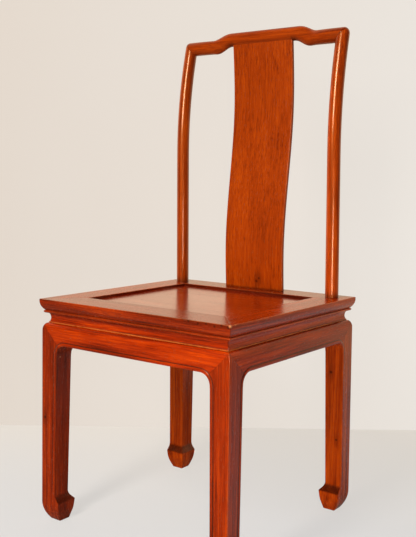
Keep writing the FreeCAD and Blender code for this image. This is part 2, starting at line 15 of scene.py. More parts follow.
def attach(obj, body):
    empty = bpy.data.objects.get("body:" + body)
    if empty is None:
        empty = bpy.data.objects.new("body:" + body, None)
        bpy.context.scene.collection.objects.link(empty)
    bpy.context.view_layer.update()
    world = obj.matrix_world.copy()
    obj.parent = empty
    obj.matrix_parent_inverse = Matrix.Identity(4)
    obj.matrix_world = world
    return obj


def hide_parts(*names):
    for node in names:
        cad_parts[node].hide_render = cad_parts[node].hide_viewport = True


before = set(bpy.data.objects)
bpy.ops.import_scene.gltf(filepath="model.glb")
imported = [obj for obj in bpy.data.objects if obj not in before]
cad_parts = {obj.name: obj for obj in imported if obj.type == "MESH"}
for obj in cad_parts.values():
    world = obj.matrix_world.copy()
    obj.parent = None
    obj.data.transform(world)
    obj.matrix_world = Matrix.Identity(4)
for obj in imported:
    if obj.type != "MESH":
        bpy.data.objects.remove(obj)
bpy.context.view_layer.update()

# %% [markdown]
# ## Sizes
# All sizes here are in millimetres, as on the maker's drawing, and become metres only when a mesh is made.
# They repeat the solids' own sizes, so each surface lies where its solid is. The solids' boxes could be
# measured instead, but a box knows nothing of a moulding's curve or a mitre's slope.

# %% The seat's sizes
SEAT_WIDTH, SEAT_DEPTH, SEAT_TOP, SEAT_BOTTOM = 477.0, 461.0, 457.0, 428.5

# Each side: its length, its distance from the middle, its rail's width, its quarter turn
SIDES = {
    "front": (SEAT_WIDTH, SEAT_DEPTH / 2, 74.0, 0),
    "right": (SEAT_DEPTH, SEAT_WIDTH / 2, 65.0, 90),
    "back": (SEAT_WIDTH, SEAT_DEPTH / 2, 68.0, 180),
    "left": (SEAT_DEPTH, SEAT_WIDTH / 2, 65.0, 270),
}
SIDE_NAMES = list(SIDES)
print("sides:", SIDE_NAMES)

# %% [markdown]
# ## From points to pieces
# Every piece below is a stack of closed rings of points, like the hoops of a barrel. Neighbouring rings are
# joined by four-sided faces, and the first and the last ring are closed by a lid. Bevels on the solids
# would ease the edges too, but rings worked out as whole arrays can also follow a bead or a hoof, and each
# of their points can carry how pale it is painted, for rubbing and painted highlight, and how dark, for
# joints and painted shade.

# %% Rings to shells
JOINT_FADE, SHORTEST_STEP = 1.1, 0.1


def unit(vectors):
    """Vectors of length 1, in the same directions."""
    return vectors / np.maximum(np.linalg.norm(vectors, axis=-1, keepdims=True), 1e-12)


def bend_of(rings):
    """How sharply a ring turns at each point, per millimetre: the sine of the turn over the mean step,
    positive where the piece stands out and negative in its hollows."""
    back = rings - np.roll(rings, 1, axis=1)
    ahead = np.roll(rings, -1, axis=1) - rings
    area = np.cross(rings, np.roll(rings, -1, axis=1)).sum(axis=1, keepdims=True)
    sine = (np.cross(unit(back), unit(ahead)) * unit(area)).sum(axis=-1)
    step = (np.linalg.norm(back, axis=-1) + np.linalg.norm(ahead, axis=-1)) / 2
    return sine / np.maximum(step, SHORTEST_STEP)


def joint_of(rings):
    """1 on the last ring at either end, fading out over about a millimetre of the way along the piece."""
    middle = rings.mean(axis=1)
    run = np.concatenate([[0], np.cumsum(np.linalg.norm(np.diff(middle, axis=0), axis=1))])
    near = np.minimum(run, run[-1] - run)[:, None]
    return np.broadcast_to(np.clip(1 - near / JOINT_FADE, 0, 1), rings.shape[:2])


def volume_of(points, quads, lids):
    """The volume inside: a sixth of the sum of the triple products of all triangles' corners."""
    fans = [np.stack([np.full(len(lid) - 2, lid[0]), lid[1:-1], lid[2:]], axis=-1) for lid in lids]
    triangles = np.concatenate([quads[:, [0, 1, 2]], quads[:, [0, 2, 3]]] + fans)
    first, second, third = (points[triangles[:, corner]] for corner in range(3))
    return (first * np.cross(second, third)).sum() / 6


def skin(rings, shade=0.0, painted_highlight=0.0):
    """A closed shell over rings (rings, points, 3): each quad joins a step along a ring to the same step on
    the next, a lid closes either end, and all turn round if their volume is negative. A shade is painted dark
    on points, in the same field as the joints' dark, and points given a painted highlight take the pale of a
    sharp arris."""
    rows, count = rings.shape[:2]
    points = rings.reshape(-1, 3)
    index = np.arange(rows * count).reshape(rows, count)
    ahead = np.roll(index, -1, axis=1)
    quads = np.stack([index[:-1], ahead[:-1], ahead[1:], index[1:]], axis=-1).reshape(-1, 4)
    lids = np.stack([index[0, ::-1], index[-1]])
    if volume_of(points, quads, lids) < 0:
        quads, lids = quads[:, ::-1], lids[:, ::-1]
    bend = bend_of(rings) + painted_highlight
    joint = np.maximum(joint_of(rings), shade)
    return {"points": points, "quads": quads, "lids": lids, "bend": bend.ravel(), "joint": joint.ravel()}


square = np.array([[0.0, 0.0, 0.0], [1.0, 0.0, 0.0], [1.0, 1.0, 0.0], [0.0, 1.0, 0.0]])
box = skin(np.stack([square, square + [0.0, 0.0, 1.0]]))
print("a box of 1 mm holds", volume_of(box["points"], box["quads"], box["lids"]), "mm3")

# %% Shells to pieces
MM = 0.001
SHARP_TURN = math.radians(38)
shown = {}


def make_piece(node, shells):
    """One mesh from closed shells of points in millimetres, smooth except over sharp edges, standing for a
    node. Two fields of the points are kept with the mesh for the finish: bend, raised where a highlight is
    painted, and the joints' dark, which also carries painted shade."""
    name = node + "_shown"
    points = np.concatenate([shell["points"] for shell in shells])
    starts = np.cumsum([0] + [len(shell["points"]) for shell in shells])
    faces = []
    for start, shell in zip(starts, shells):
        faces += (shell["quads"] + start).tolist() + (shell["lids"] + start).tolist()
    mesh = bpy.data.meshes.new(name)
    mesh.from_pydata(points * MM, [], faces)
    for field in ("bend", "joint"):
        values = np.concatenate([shell[field] for shell in shells]).astype(np.float32)
        mesh.attributes.new(field, "FLOAT", "POINT").data.foreach_set("value", values)
    mesh.shade_smooth()
    mesh.set_sharp_from_angle(angle=SHARP_TURN)
    piece = bpy.data.objects.new(name, mesh)
    bpy.context.scene.collection.objects.link(piece)
    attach(piece, "root")
    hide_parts(node)
    shown[node] = piece
    print(name, "points", len(points), "faces", len(faces))


def to_side(points, side):
    """Points drawn along X, with insets along Y, move out to a side of the seat: a shift, then a quarter
    turn about Z."""
    _, distance, _, turn = SIDES[side]
    cosine, sine = round(math.cos(math.radians(turn))), round(math.sin(math.radians(turn)))
    x, y, z = points[..., 0], points[..., 1] - distance, points[..., 2]
    return np.stack([cosine * x - sine * y, sine * x + cosine * y, z], axis=-1)


print("the right side's outer edge:", to_side(np.zeros(3), "right"))

# %% [markdown]
# ## Outlines with eased corners
# No edge on a hand-finished chair is a true knife edge. A bevel modifier could ease them all alike, but
# here every corner has its own radius: an outline is written as corners with a radius each, and one
# function swaps every corner for its arc. Hollows and swelling mouldings are conic curves, which leave the
# first point towards the pole and arrive at the last point from it.

# %% Outline helpers
def eased(corners, steps=6, guard=1.2):
    """A closed outline from corners (a, b, radius). Each arc's ends lie radius / tan(half angle) along its
    sides, and its points turn evenly about the centre; a corner of radius 0 stays one point. Where there is
    room, a guard point on either side keeps the arc's pale rubbing and painted highlight from spreading over
    the flat."""
    table = np.array(corners, float)
    point, radius = table[:, :2], table[:, 2:]
    back = unit(np.roll(point, 1, axis=0) - point)
    ahead = unit(np.roll(point, -1, axis=0) - point)
    half = np.arccos(np.clip((back * ahead).sum(axis=1, keepdims=True), -0.999999, 0.999999)) / 2
    centre = point + unit(back + ahead) * radius / np.sin(half)
    start = point + back * radius / np.tan(half) - centre
    end = point + ahead * radius / np.tan(half) - centre
    sweep = (math.pi - 2 * half)[:, None]
    share = np.linspace(0, 1, steps)[None, :, None]
    arc = np.sin((1 - share) * sweep) * start[:, None] + np.sin(share * sweep) * end[:, None]
    rounded = radius > 0
    points = np.where(rounded[..., None], centre[:, None] + arc / np.sin(sweep), point[:, None])
    reach = np.linalg.norm(start + centre - point, axis=1)
    space_back = np.linalg.norm(np.roll(point, 1, axis=0) - point, axis=1) - reach - np.roll(reach, 1)
    space_ahead = np.roll(space_back, -1)
    first, last = points[:, :1] + back[:, None] * guard, points[:, -1:] + ahead[:, None] * guard
    points = np.concatenate([first, points, last], axis=1)
    wide = rounded & (np.stack([space_back, space_ahead], axis=1) > 3 * guard)
    keep = np.concatenate([wide[:, :1], rounded | (np.arange(steps) == 0), wide[:, 1:]], axis=1)
    return points[keep]


def conic(start, pole, end, steps=12):
    """A quarter-ellipse-like curve: the rational mean of start, pole and end with weights (1-t)2, 2wt(1-t)
    and t2, where w is the cosine of half the turn."""
    start, pole, end = (np.array(point, float) for point in (start, pole, end))
    turn = (unit(pole - start) * unit(end - pole)).sum()
    weight = math.cos(math.acos(turn) / 2)
    t = np.linspace(0, 1, steps)[:, None]
    parts = (1 - t) ** 2, 2 * weight * t * (1 - t), t ** 2
    return (parts[0] * start + parts[1] * pole + parts[2] * end) / sum(parts)


def plain(points):
    """Curve points as outline corners of radius 0."""
    return np.column_stack([points, np.zeros(len(points))]).tolist()


def inward(outline):
    """The direction into an outline at each point: its run past the point, turned by a right angle, to the
    side that the sign of its area gives."""
    ahead = np.roll(outline, -1, axis=0)
    along = unit(ahead - np.roll(outline, 1, axis=0))
    area = (outline[:, 0] * ahead[:, 1] - outline[:, 1] * ahead[:, 0]).sum()
    return np.stack([-along[:, 1], along[:, 0]], axis=-1) * np.sign(area)


print("an eased square has", len(eased([(0, 0, 1), (9, 0, 1), (9, 9, 1), (0, 9, 1)])), "points")

# %% [markdown]
# ## Seat rails and waist strips
# The seat's frame is four moulded rails, and a hollow strip, the waist, is set back under each. A joiner
# planes such a moulding along its whole length and cuts it off at a mitre. So its surface is a profile
# carried along X, and each point of the profile stops where the mitre cuts it: the further in it lies, the
# sooner. A curve object with a bevel would carry the profile too, but its ends would be square. The last
# ring is drawn in by less than a tenth of a millimetre, which leaves a hairline where two pieces meet.

# %% Mitred mouldings
HAIRLINE = 0.08
APRON_TOP = 408.0
BAND_FOOT, SWELL_POLE, SWELL_FOOT, SWELL_INSET = 453.0, 442.0, 434.5, 8.3
GROOVE_INSET, LIP_INSET, LIP_TOP, LIP_EASE = 9.1, 6.5, 433.7, 2.55
WAIST_BACK, HOLLOW_TOP, HOLLOW_POLE, HOLLOW_FOOT = 24.0, 13.1, (19.9, 419.55), (14.7, 410.6)
FOOT_BEAD_INSET, FOOT_BEAD_EASE = 13.4, 1.25


def mitred_bar(profile, length, cut_before, cut_after):
    """A profile (inset, level) carried along X. A point's ends lie at half the length minus its inset times
    the mitre's slope, and next to them the profile shrinks by a hairline."""
    inset = profile[:, 0]
    first, last = cut_before * inset - length / 2, length / 2 - cut_after * inset
    end = np.array([0.0, 0.12, 1.2])
    steps = np.concatenate([end, np.linspace(8, length - 8, 16), length - end[::-1]])
    x = first + (last - first) * (steps[:, None] / length)
    shrink = np.zeros(len(steps))
    shrink[[0, -1]] = HAIRLINE
    shrink[[1, -2]] = HAIRLINE * 0.4
    section = profile + inward(profile) * shrink[:, None, None]
    return np.stack([x, section[..., 0], section[..., 1]], axis=-1)


def rail_profile(width):
    """A seat rail's section: eased top, square band, swelling curve, groove, lip and inner face."""
    top = [(width, SEAT_TOP, 1.0), (0, SEAT_TOP, 1.1)]
    swell = conic((0, BAND_FOOT), (0, SWELL_POLE), (SWELL_INSET, SWELL_FOOT))
    groove = [(GROOVE_INSET, SWELL_FOOT, 0.0), (GROOVE_INSET, LIP_TOP, 0.0)]
    lip = [(LIP_INSET, LIP_TOP, LIP_EASE), (LIP_INSET, SEAT_BOTTOM, LIP_EASE)]
    return eased(top + plain(swell) + groove + lip + [(width, SEAT_BOTTOM, 0.6)])


def waist_profile():
    """A waist strip's section: a hollow face above a small bead."""
    hollow = conic((HOLLOW_TOP, SEAT_BOTTOM), HOLLOW_POLE, HOLLOW_FOOT)
    foot = [(FOOT_BEAD_INSET, HOLLOW_FOOT[1], FOOT_BEAD_EASE), (FOOT_BEAD_INSET, APRON_TOP, FOOT_BEAD_EASE)]
    return eased([(WAIST_BACK, SEAT_BOTTOM, 0.0)] + plain(hollow) + foot + [(WAIST_BACK, APRON_TOP, 0.0)])


print("points round a rail:", len(rail_profile(SIDES["front"][2])), "round a waist:", len(waist_profile()))

# %% Seat rails and waist strips
RECESS_SHADE, FOOT_BEAD_HIGHLIGHT = 0.9, 1.6
for number, side in enumerate(SIDE_NAMES):
    length, _, width, _ = SIDES[side]
    before = SIDES[SIDE_NAMES[number - 1]][2] / width
    after = SIDES[SIDE_NAMES[(number + 1) % 4]][2] / width
    profile = rail_profile(width)
    # The rail's inner face above the panel is painted dark: painted shade for the recess round the panel.
    recess = RECESS_SHADE * ((profile[:, 0] > width - 0.1) & (profile[:, 1] < SEAT_TOP - 0.8))
    rail = skin(to_side(mitred_bar(profile, length, before, after), side), shade=recess)
    profile = waist_profile()
    # The waist's foot bead gets a painted highlight line: its points are counted as a sharp arris, so they
    # take the pale edge colour.
    foot_bead = (profile[:, 0] < FOOT_BEAD_INSET + 0.5) & (profile[:, 1] < HOLLOW_FOOT[1] - 0.1)
    waist = skin(to_side(mitred_bar(profile, length, 1.0, 1.0), side), painted_highlight=FOOT_BEAD_HIGHLIGHT * foot_bead)
    make_piece(side + "_seat_rail", [rail])
    make_piece(side + "_waist_strip", [waist])

# %% [markdown]
# ## The arch: aprons and legs
# Under the seat an apron and two legs make an arch. A fine bead runs along its edge, raised from the face
# by little more than a millimetre, with painted shade in the narrow groove beside it. A thin tube laid along
# the edge would be simpler, but it would show a seam. Instead both pieces take the bead from one function of
# the distance to the arch's edge, so it runs on unbroken over the mitre between them.

# %% The bead and the arch
APRON_BOTTOM, APRON_THICKNESS, FACE_INSET = 366.5, 20.0, 4.0
LEG_WIDTH, ARCH_RADIUS = 42.0, 22.0
SHOULDER_SET, SHOULDER_DROP = 9.2, 15.0
BEAD_WIDTH, BEAD_RISE = 7.0, 1.1
BEAD_STATIONS = np.array([9.0, 8.0, 7.3, 7.05, 6.8, 6.2, 5.5, 4.5, 3.5, 2.5, 1.5, 0.8, 0.3, 0.0])
BEAD_START = int(np.argmax(BEAD_STATIONS < BEAD_WIDTH))
# The narrow groove beside the bead is painted dark as shade, over these distances from the arch's edge.
QUIRK_PLACES, QUIRK_SHADE = [5.8, 6.6, 7.6, 8.9], [0.0, 1.2, 1.2, 0.0]
MITRE_WIDTH = LEG_WIDTH + ARCH_RADIUS * (1 - math.sqrt(0.5))
MITRE_DROP = APRON_TOP - APRON_BOTTOM + ARCH_RADIUS * (1 - math.sqrt(0.5))
MITRE_SLOPE = MITRE_WIDTH / MITRE_DROP
ARCH_SPRING = APRON_BOTTOM - ARCH_RADIUS


def bead(distance):
    """How far the face stands out at a distance from the arch's edge: a flat parabola over the bead."""
    across = (distance - BEAD_WIDTH / 2) / (BEAD_WIDTH / 2)
    return BEAD_RISE * np.clip(1 - across ** 2, 0, 1)


def quirk_shade(distance):
    """How dark the narrow groove beside the bead is painted, as shade: straight lines between a few places.
    """
    return np.interp(distance, QUIRK_PLACES, QUIRK_SHADE)


shoulder = conic((SHOULDER_SET, 0.0), (0.0, 0.0), (0.0, SHOULDER_DROP), steps=14)
print("mitre", round(MITRE_WIDTH, 2), "by", round(MITRE_DROP, 2))

# %% [markdown]
# An apron's ring goes round its section: over the shoulder, down the face, over the bead, under the board
# and up its back. Points near the top are measured down from the top, points near the arch are measured out
# from the arch's edge, and the face between them is straight. At both ends the mitre slants in front view
# and in plan, so the further in and the lower a point lies, the sooner it stops. Cutting a straight board
# with two others would give the same mitre, but no points along the bead.

# %% Aprons
END_SHARES = np.linspace(0.9, 1, 15)
UNDER_DEPTHS = np.array([0.5, 4.0, 12.0, APRON_THICKNESS])
BACK_DROPS = np.array([24.0, 10.0, 0.0])
SEARCH_REACH, HALVINGS = 30, 40


def arch_level(half, x):
    """The arch's edge: level in the middle, falling on a circle near each leg."""
    over = np.clip(np.abs(x) - (half - LEG_WIDTH - ARCH_RADIUS), 0, ARCH_RADIUS * 0.999)
    return ARCH_SPRING + np.sqrt(ARCH_RADIUS ** 2 - over ** 2)


def arch_end(half, depth):
    """Where the mitre meets the arch at a depth behind the face: halving the interval until both agree."""
    guess = half - MITRE_WIDTH - depth
    low, high = guess - SEARCH_REACH, guess + SEARCH_REACH
    for _ in range(HALVINGS):
        middle = (low + high) / 2
        short = middle < half - MITRE_SLOPE * (APRON_TOP - arch_level(half, middle)) - depth
        low, high = np.where(short, middle, low), np.where(short, high, middle)
    return middle


def apron_rings(length):
    """An apron's rings from mitre to mitre, and the painted shade on their points. On each ring every point
    has gone the same share of its own way from the middle to the mitre."""
    half = length / 2 - FACE_INSET
    share = np.concatenate([-END_SHARES[::-1], np.linspace(-0.88, 0.88, 22), END_SHARES])[:, None]

    def from_top(depth, drop):
        """Points at depths behind the face and drops below the top, as far along as the mitre lets."""
        x = share * (half - MITRE_SLOPE * drop - depth)
        return np.stack(np.broadcast_arrays(x, depth, APRON_TOP - drop), axis=-1)

    def from_arch(depth, away):
        """Points at depths behind the face, so far away from the arch's edge, square to it."""
        x = share * arch_end(half, np.maximum(depth, 0.0))
        lean = np.sign(x) * np.clip(np.abs(x) - (half - LEG_WIDTH - ARCH_RADIUS), 0, None) / ARCH_RADIUS
        z = arch_level(half, x) + np.sqrt(1 - lean ** 2) * away
        return np.stack(np.broadcast_arrays(x + lean * away, depth, z), axis=-1)

    top = from_top(shoulder[:, 0], shoulder[:, 1])
    edge = from_arch(-bead(BEAD_STATIONS), BEAD_STATIONS)
    part = np.linspace(0, 1, 6)[1:-1, None]
    face = top[:, -1:] * (1 - part) + edge[:, :1] * part
    under = from_arch(UNDER_DEPTHS, np.zeros(len(UNDER_DEPTHS)))
    back = from_top(np.full(len(BACK_DROPS), APRON_THICKNESS), BACK_DROPS)
    rings = np.concatenate([top, face, edge, under, back], axis=1)
    shrink = np.zeros((len(share), 1, 1))
    shrink[[0, -1]] = HAIRLINE
    rings = rings + unit(rings.mean(axis=1, keepdims=True) - rings) * shrink
    rings[..., 1] += FACE_INSET
    # The groove beside the bead gets painted shade.
    groove_shade = np.zeros(rings.shape[1])
    start = top.shape[1] + face.shape[1]
    groove_shade[start:start + len(BEAD_STATIONS)] = quirk_shade(BEAD_STATIONS)
    return rings, groove_shade


for side in SIDE_NAMES:
    rings, groove_shade = apron_rings(SIDES[side][0])
    make_piece(side + "_apron", [skin(to_side(rings, side), shade=groove_shade)])

# %% [markdown]
# A leg is sawn to the same curve from two sides, so at every height its section is a square. Two functions
# of the height give it: where the outer faces lie, and where the inner faces lie. The square tapers to the
# ankle, swells to the hoof's tip, and draws in to the sole. Above the arch the face is a triangle between
# the mitres. Crossing two sawn boards with a boolean would be the joiner's way, but rings up the leg keep
# its bead whole.

# %% A leg's outline
SOLE, SWELLING, TOE, ANKLE = (39.6, 0.0, 0.5), (45.8, 21.0, 60.0), (47.9, 40.0, 2.2), (37.6, 51.5, 18.0)
FOOT_CURVE, FOOT_EDGE = (0.0, 17.0, 60.0), (13.8, 0.0, 0.5)
MITRE_ROOM = 0.3


def leg_curves():
    """The inner and the outer edge of a leg's side view, from the sole up, as (inset, height)."""
    outline = eased([SOLE, SWELLING, TOE, ANKLE, (LEG_WIDTH, APRON_BOTTOM, 0.0), (0.0, APRON_BOTTOM, 0.0),
                     FOOT_CURVE, FOOT_EDGE], steps=14)
    split = int(np.argmax(outline[:, 0] == LEG_WIDTH))
    return outline[:split + 1], outline[split + 1:][::-1]


def leg_levels(inner, outer):
    """The heights of a leg's rings: close together at the hoof, along the arch and over the shoulder."""
    hoof = np.unique(np.round(np.concatenate([inner[:-1, 1], outer[:-1, 1], np.linspace(0, 60, 30)]), 2))
    hoof = hoof[(hoof >= 0) & (hoof < 62)]
    shaft = np.linspace(66, ARCH_SPRING - 4, 30)
    arc = np.linspace(ARCH_SPRING, APRON_BOTTOM - 0.05, 14)
    head = np.linspace(APRON_BOTTOM + 3, APRON_TOP - SHOULDER_DROP - 2, 7)
    return np.unique(np.round(np.concatenate([hoof, shaft, arc, head, APRON_TOP - shoulder[:, 1]]), 3))


def leg_widths(level, inner, outer):
    """For each height, the distances from the outer corner to the outer faces, to the arch's edge and along
    the mitre: read from the two curves, from the shoulder's near the top, and from the arch's circle."""
    drop = APRON_TOP - level
    rise = np.argsort(outer[:, 1])
    out = np.interp(level, outer[rise, 1], outer[rise, 0])
    out = np.where(drop < SHOULDER_DROP, np.interp(drop, shoulder[:, 1], shoulder[:, 0]), out)
    climb = np.argsort(inner[:, 1], kind="stable")
    width = np.interp(level, inner[climb, 1], inner[climb, 0])
    over = np.clip(level - ARCH_SPRING, 0, ARCH_RADIUS * 0.9999)
    circle = LEG_WIDTH + ARCH_RADIUS - np.sqrt(ARCH_RADIUS ** 2 - over ** 2)
    arch = np.where(level < ARCH_SPRING, width, circle)
    return out[:, None], arch[:, None], (MITRE_SLOPE * drop + MITRE_ROOM)[:, None]


levels = leg_levels(*leg_curves())
print("rings up a leg:", len(levels), "from", levels[0], "to", levels[-1])

# %% A leg's rings
CORNER_EASE = 1.2
CORNER_TURN = np.radians(np.array([45.0, 33.0, 22.0, 11.0, 0.0]))
BEAD_FOOT, BEAD_FADE = 58, 14


def bead_places(level, arch, low, high):
    """Where the bead's stations lie across the face between low and high, and how far each is from the
    arch's edge. Stations keep their order where the mitre cuts them short."""
    centre = LEG_WIDTH + ARCH_RADIUS
    up = np.maximum(level - ARCH_SPRING, 0)
    circle = centre - np.sqrt(np.maximum((ARCH_RADIUS + BEAD_STATIONS) ** 2 - up ** 2, 0))
    across = np.where(level < ARCH_SPRING, arch - BEAD_STATIONS, circle)
    spare = np.minimum(0.02, (high - low) / 400) * np.arange(len(BEAD_STATIONS) - 1, -1, -1)
    across = np.maximum.accumulate(np.clip(across, low + (high - low) / 2, high - spare), axis=1)
    away = np.where(level < ARCH_SPRING, arch - across,
                    np.hypot(centre - across, level - ARCH_SPRING) - ARCH_RADIUS)
    return across, away


def leg_rings():
    """Rings up a leg and the painted shade on their points. Half a ring runs from the outer corner over the
    face and the bead to the arch's edge and in to the inner corner, with a and b its distances from the two
    outer faces; the other half has them the other way round."""
    inner, outer = leg_curves()
    level = leg_levels(inner, outer)
    low, arch, mitre = leg_widths(level, inner, outer)
    level = level[:, None]
    high = np.minimum(arch, low + mitre)
    ease = np.minimum(CORNER_EASE, (high - low) / 4)
    fade = np.clip((level - BEAD_FOOT) / BEAD_FADE, 0, 1)
    across, away = bead_places(level, arch, low, high)
    proud = np.where((away < BEAD_STATIONS[0]) & (away >= -0.01), bead(np.maximum(away, 0)) * fade, 0)

    # From the outer corner over the plain part of the face
    corner_a, corner_b = low + ease * (1 - np.sin(CORNER_TURN)), low + ease * (1 - np.cos(CORNER_TURN))
    plain_a = low + ease + (across[:, :1] - low - ease) * np.array([0.25, 0.5, 0.75])
    plain_b = np.repeat(low, 3, axis=1)

    # From the arch's edge along the inner face to the inner corner
    deep = np.minimum(np.where(level < APRON_BOTTOM, arch, 1e3), APRON_THICKNESS + mitre)
    slant = np.maximum(deep - mitre, low + 2)
    head = np.minimum(deep, MITRE_WIDTH)
    inner_a = np.concatenate([deep, deep, head], axis=1)
    inner_b = np.concatenate([slant, np.maximum(slant + 0.5, APRON_THICKNESS),
                              np.maximum(slant + 1, APRON_THICKNESS + 2)], axis=1)
    end_a = head - CORNER_EASE * (1 - np.cos(CORNER_TURN[::-1]))
    end_b = head - CORNER_EASE * (1 - np.sin(CORNER_TURN[::-1]))

    a = np.concatenate([corner_a, plain_a, across, inner_a, end_a], axis=1)
    b = np.concatenate([corner_b, plain_b, low - proud, inner_b, end_b], axis=1)
    half = np.stack([a, b], axis=-1)
    ring = np.concatenate([half, half[:, -2:0:-1, ::-1]], axis=1)
    heights = np.broadcast_to(level, ring.shape[:2])
    # The groove beside the bead gets painted shade, where the bead stands out.
    groove_shade = np.zeros(half.shape[:2])
    start = corner_a.shape[1] + plain_a.shape[1]
    raised = proud[:, BEAD_START:BEAD_START + 1] > 0
    groove_shade[:, start:start + len(BEAD_STATIONS)] = quirk_shade(away) * fade * raised
    groove_shade = np.concatenate([groove_shade, groove_shade[:, -2:0:-1]], axis=1)
    return np.concatenate([ring, heights[..., None]], axis=-1), groove_shade


leg, leg_shade = leg_rings()
print("points round a leg:", leg.shape[1])

# %% Legs
# The hollow above each hoof is painted dark on its inner sides: painted shade.
ANKLE_SHADE, ANKLE_FROM, ANKLE_TO, INNER_SIDE = 1.1, 38, 57, 1.9
LEG_SIDES = {"front_left": "front", "front_right": "right", "back_right": "back", "back_left": "left"}


def ankle_shade(rings):
    """How dark a leg's points are painted, as shade: full in the hollow above the hoof, on the inner sides
    alone, fading out over a few millimetres of height."""
    level, outer = rings[..., 2], rings[..., :2].min(axis=-1)
    hollow = np.clip((level - ANKLE_FROM) / 3, 0, 1) * np.clip((ANKLE_TO - level) / 6, 0, 1)
    return ANKLE_SHADE * hollow * (outer > outer.min(axis=1, keepdims=True) + INNER_SIDE)


def leg_head():
    """The square head above the aprons, up to the seat frame: two equal rings."""
    near, far = APRON_THICKNESS, MITRE_WIDTH
    square = eased([(near, near, 0.5), (far, near, CORNER_EASE), (far, far, CORNER_EASE), (near, far, 0.5)])
    ring = np.broadcast_to(square, (2,) + square.shape)
    heights = np.array([APRON_TOP - 0.5, SEAT_BOTTOM])[:, None, None]
    return np.concatenate([ring, np.broadcast_to(heights, ring.shape[:2] + (1,))], axis=-1)


leg_shade = np.maximum(leg_shade, ankle_shade(leg))
for corner_name, side in LEG_SIDES.items():
    place = np.array([FACE_INSET - SIDES[side][0] / 2, FACE_INSET, 0.0])
    shells = [skin(to_side(leg + place, side), shade=leg_shade), skin(to_side(leg_head() + place, side))]
    make_piece(corner_name + "_leg", shells)

# %% [markdown]
# ## The round back: stiles and crest rail
# The stiles are the two round bars that stand on the seat's back corners. Each is straight at first and
# then sweeps backwards. A curve object with a round bevel would give such a bar, but not its mitre with the
# crest rail. So circles are carried along a middle line, and at the corner each point runs on until it
# meets the mitre. What stands out past the corner's rounding is drawn in to it.

# %% A stile's middle line
BACK_RADIUS, STILE_INSETS = 14.2, (36.4, 39.2)
LEAN, TIP_LEAN = math.radians(-0.7), math.radians(12.6)
STRAIGHT, TIP_STRAIGHT = 303.0, 20.0
CREST_HALF, CREST_RAISED, CREST_RISE = 16.25, 1025.016, 13.8
CREST_END = CREST_RAISED - CREST_RISE
foot = np.array([SEAT_WIDTH / 2 - STILE_INSETS[0], SEAT_DEPTH / 2 - STILE_INSETS[1], SEAT_TOP])


def stile_path():
    """The right stile's middle line in side view: straight, then an arc, as points and tangents."""
    start = foot + STRAIGHT * np.array([0, math.sin(LEAN), math.cos(LEAN)])
    rise = CREST_END - start[2] - TIP_STRAIGHT * math.cos(TIP_LEAN)
    radius = rise / (math.sin(TIP_LEAN) - math.sin(LEAN))
    angle = np.linspace(LEAN, TIP_LEAN, 40)
    sweep = [np.zeros_like(angle), math.cos(LEAN) - np.cos(angle), np.sin(angle) - math.sin(LEAN)]
    low = foot + (start - foot) * np.linspace(0, 0.97, 20)[:, None]
    points = np.concatenate([low, start + radius * np.stack(sweep, axis=-1)])
    angles = np.concatenate([np.full(len(low), LEAN), angle])
    return points, np.stack([0 * angles, np.sin(angles), np.cos(angles)], axis=-1)


path, tangent = stile_path()
tip = tangent[-1]
corner = path[-1] + tip * TIP_STRAIGHT
behind = np.array([0.0, math.cos(TIP_LEAN), -math.sin(TIP_LEAN)])
print("the stile and the crest meet at", corner.round(2))

# %% Stiles
CORNER_SHARE = 0.8
SIDEWAYS, MIRROR = np.array([1.0, 0.0, 0.0]), np.array([-1.0, 1.0, 1.0])
LAST_SHARES = 0.56, 0.64, 0.72, 0.8, 0.88, 0.95, 0.985, 1.0
around = np.linspace(0, 2 * math.pi, 48, endpoint=False)


def round_corner(points):
    """Rounds the mitred corner slice by slice: at a depth the stile is as wide as its circle is there and
    the crest as tall as its oval is. The slice's corner gets an arc of CORNER_SHARE of that, in heights
    scaled to the stile's widths, and a point outside the arc moves straight in to it."""
    scale = BACK_RADIUS / CREST_HALF
    x, z, depth = points[..., 0] - corner[0], (points - corner) @ tip * scale, (points - corner) @ behind
    half = np.sqrt(np.maximum(BACK_RADIUS ** 2 - depth ** 2, 0))
    axis, radius = half * (1 - CORNER_SHARE), half * CORNER_SHARE
    over = np.hypot(x - axis, z - axis)
    outside = (x > axis) & (z > axis) & (over > radius)
    cut = np.where(outside, radius / np.maximum(over, 1e-9) - 1, 0)[..., None]
    return points + cut * ((x - axis)[..., None] * SIDEWAYS + (z - axis)[..., None] / scale * tip)


def closed_corner(rings):
    """The rings next to a mitre, rounded, with the last one drawn in by a hairline."""
    rings = round_corner(rings)
    middle = rings.mean(axis=1, keepdims=True)
    rings[-1:] += unit(middle - rings)[-1:] * HAIRLINE
    return rings


def stile_rings():
    """Circles across the stile's path, then rings whose points run on to the mitre."""
    back = np.cross(tangent, SIDEWAYS)
    circle = BACK_RADIUS * (np.cos(around)[:, None] * SIDEWAYS + np.sin(around)[:, None] * back[:, None])
    rings = path[:, None] + circle
    rings[0, :, 2] = SEAT_TOP
    share = np.array((0.25, 0.45) + LAST_SHARES)[:, None, None]
    run = TIP_STRAIGHT + CREST_HALF * np.cos(around)
    return np.concatenate([rings, closed_corner(rings[-1] + share * run[None, :, None] * tip)])


rings = stile_rings()
make_piece("right_stile", [skin(rings)])
make_piece("left_stile", [skin(rings * MIRROR)])

# %% [markdown]
# The crest rail joins the stiles' tops. It is an oval bar, a little taller than it is deep, which leans
# back with the stiles' tips. Its middle is raised by two gentle ramps and set back at the front, where a
# sitter's head would be. One section carried along a line can't change so much on its way, so each station
# along X has an oval of its own, and smooth steps of the distance from the middle say how high and how thin
# it is.

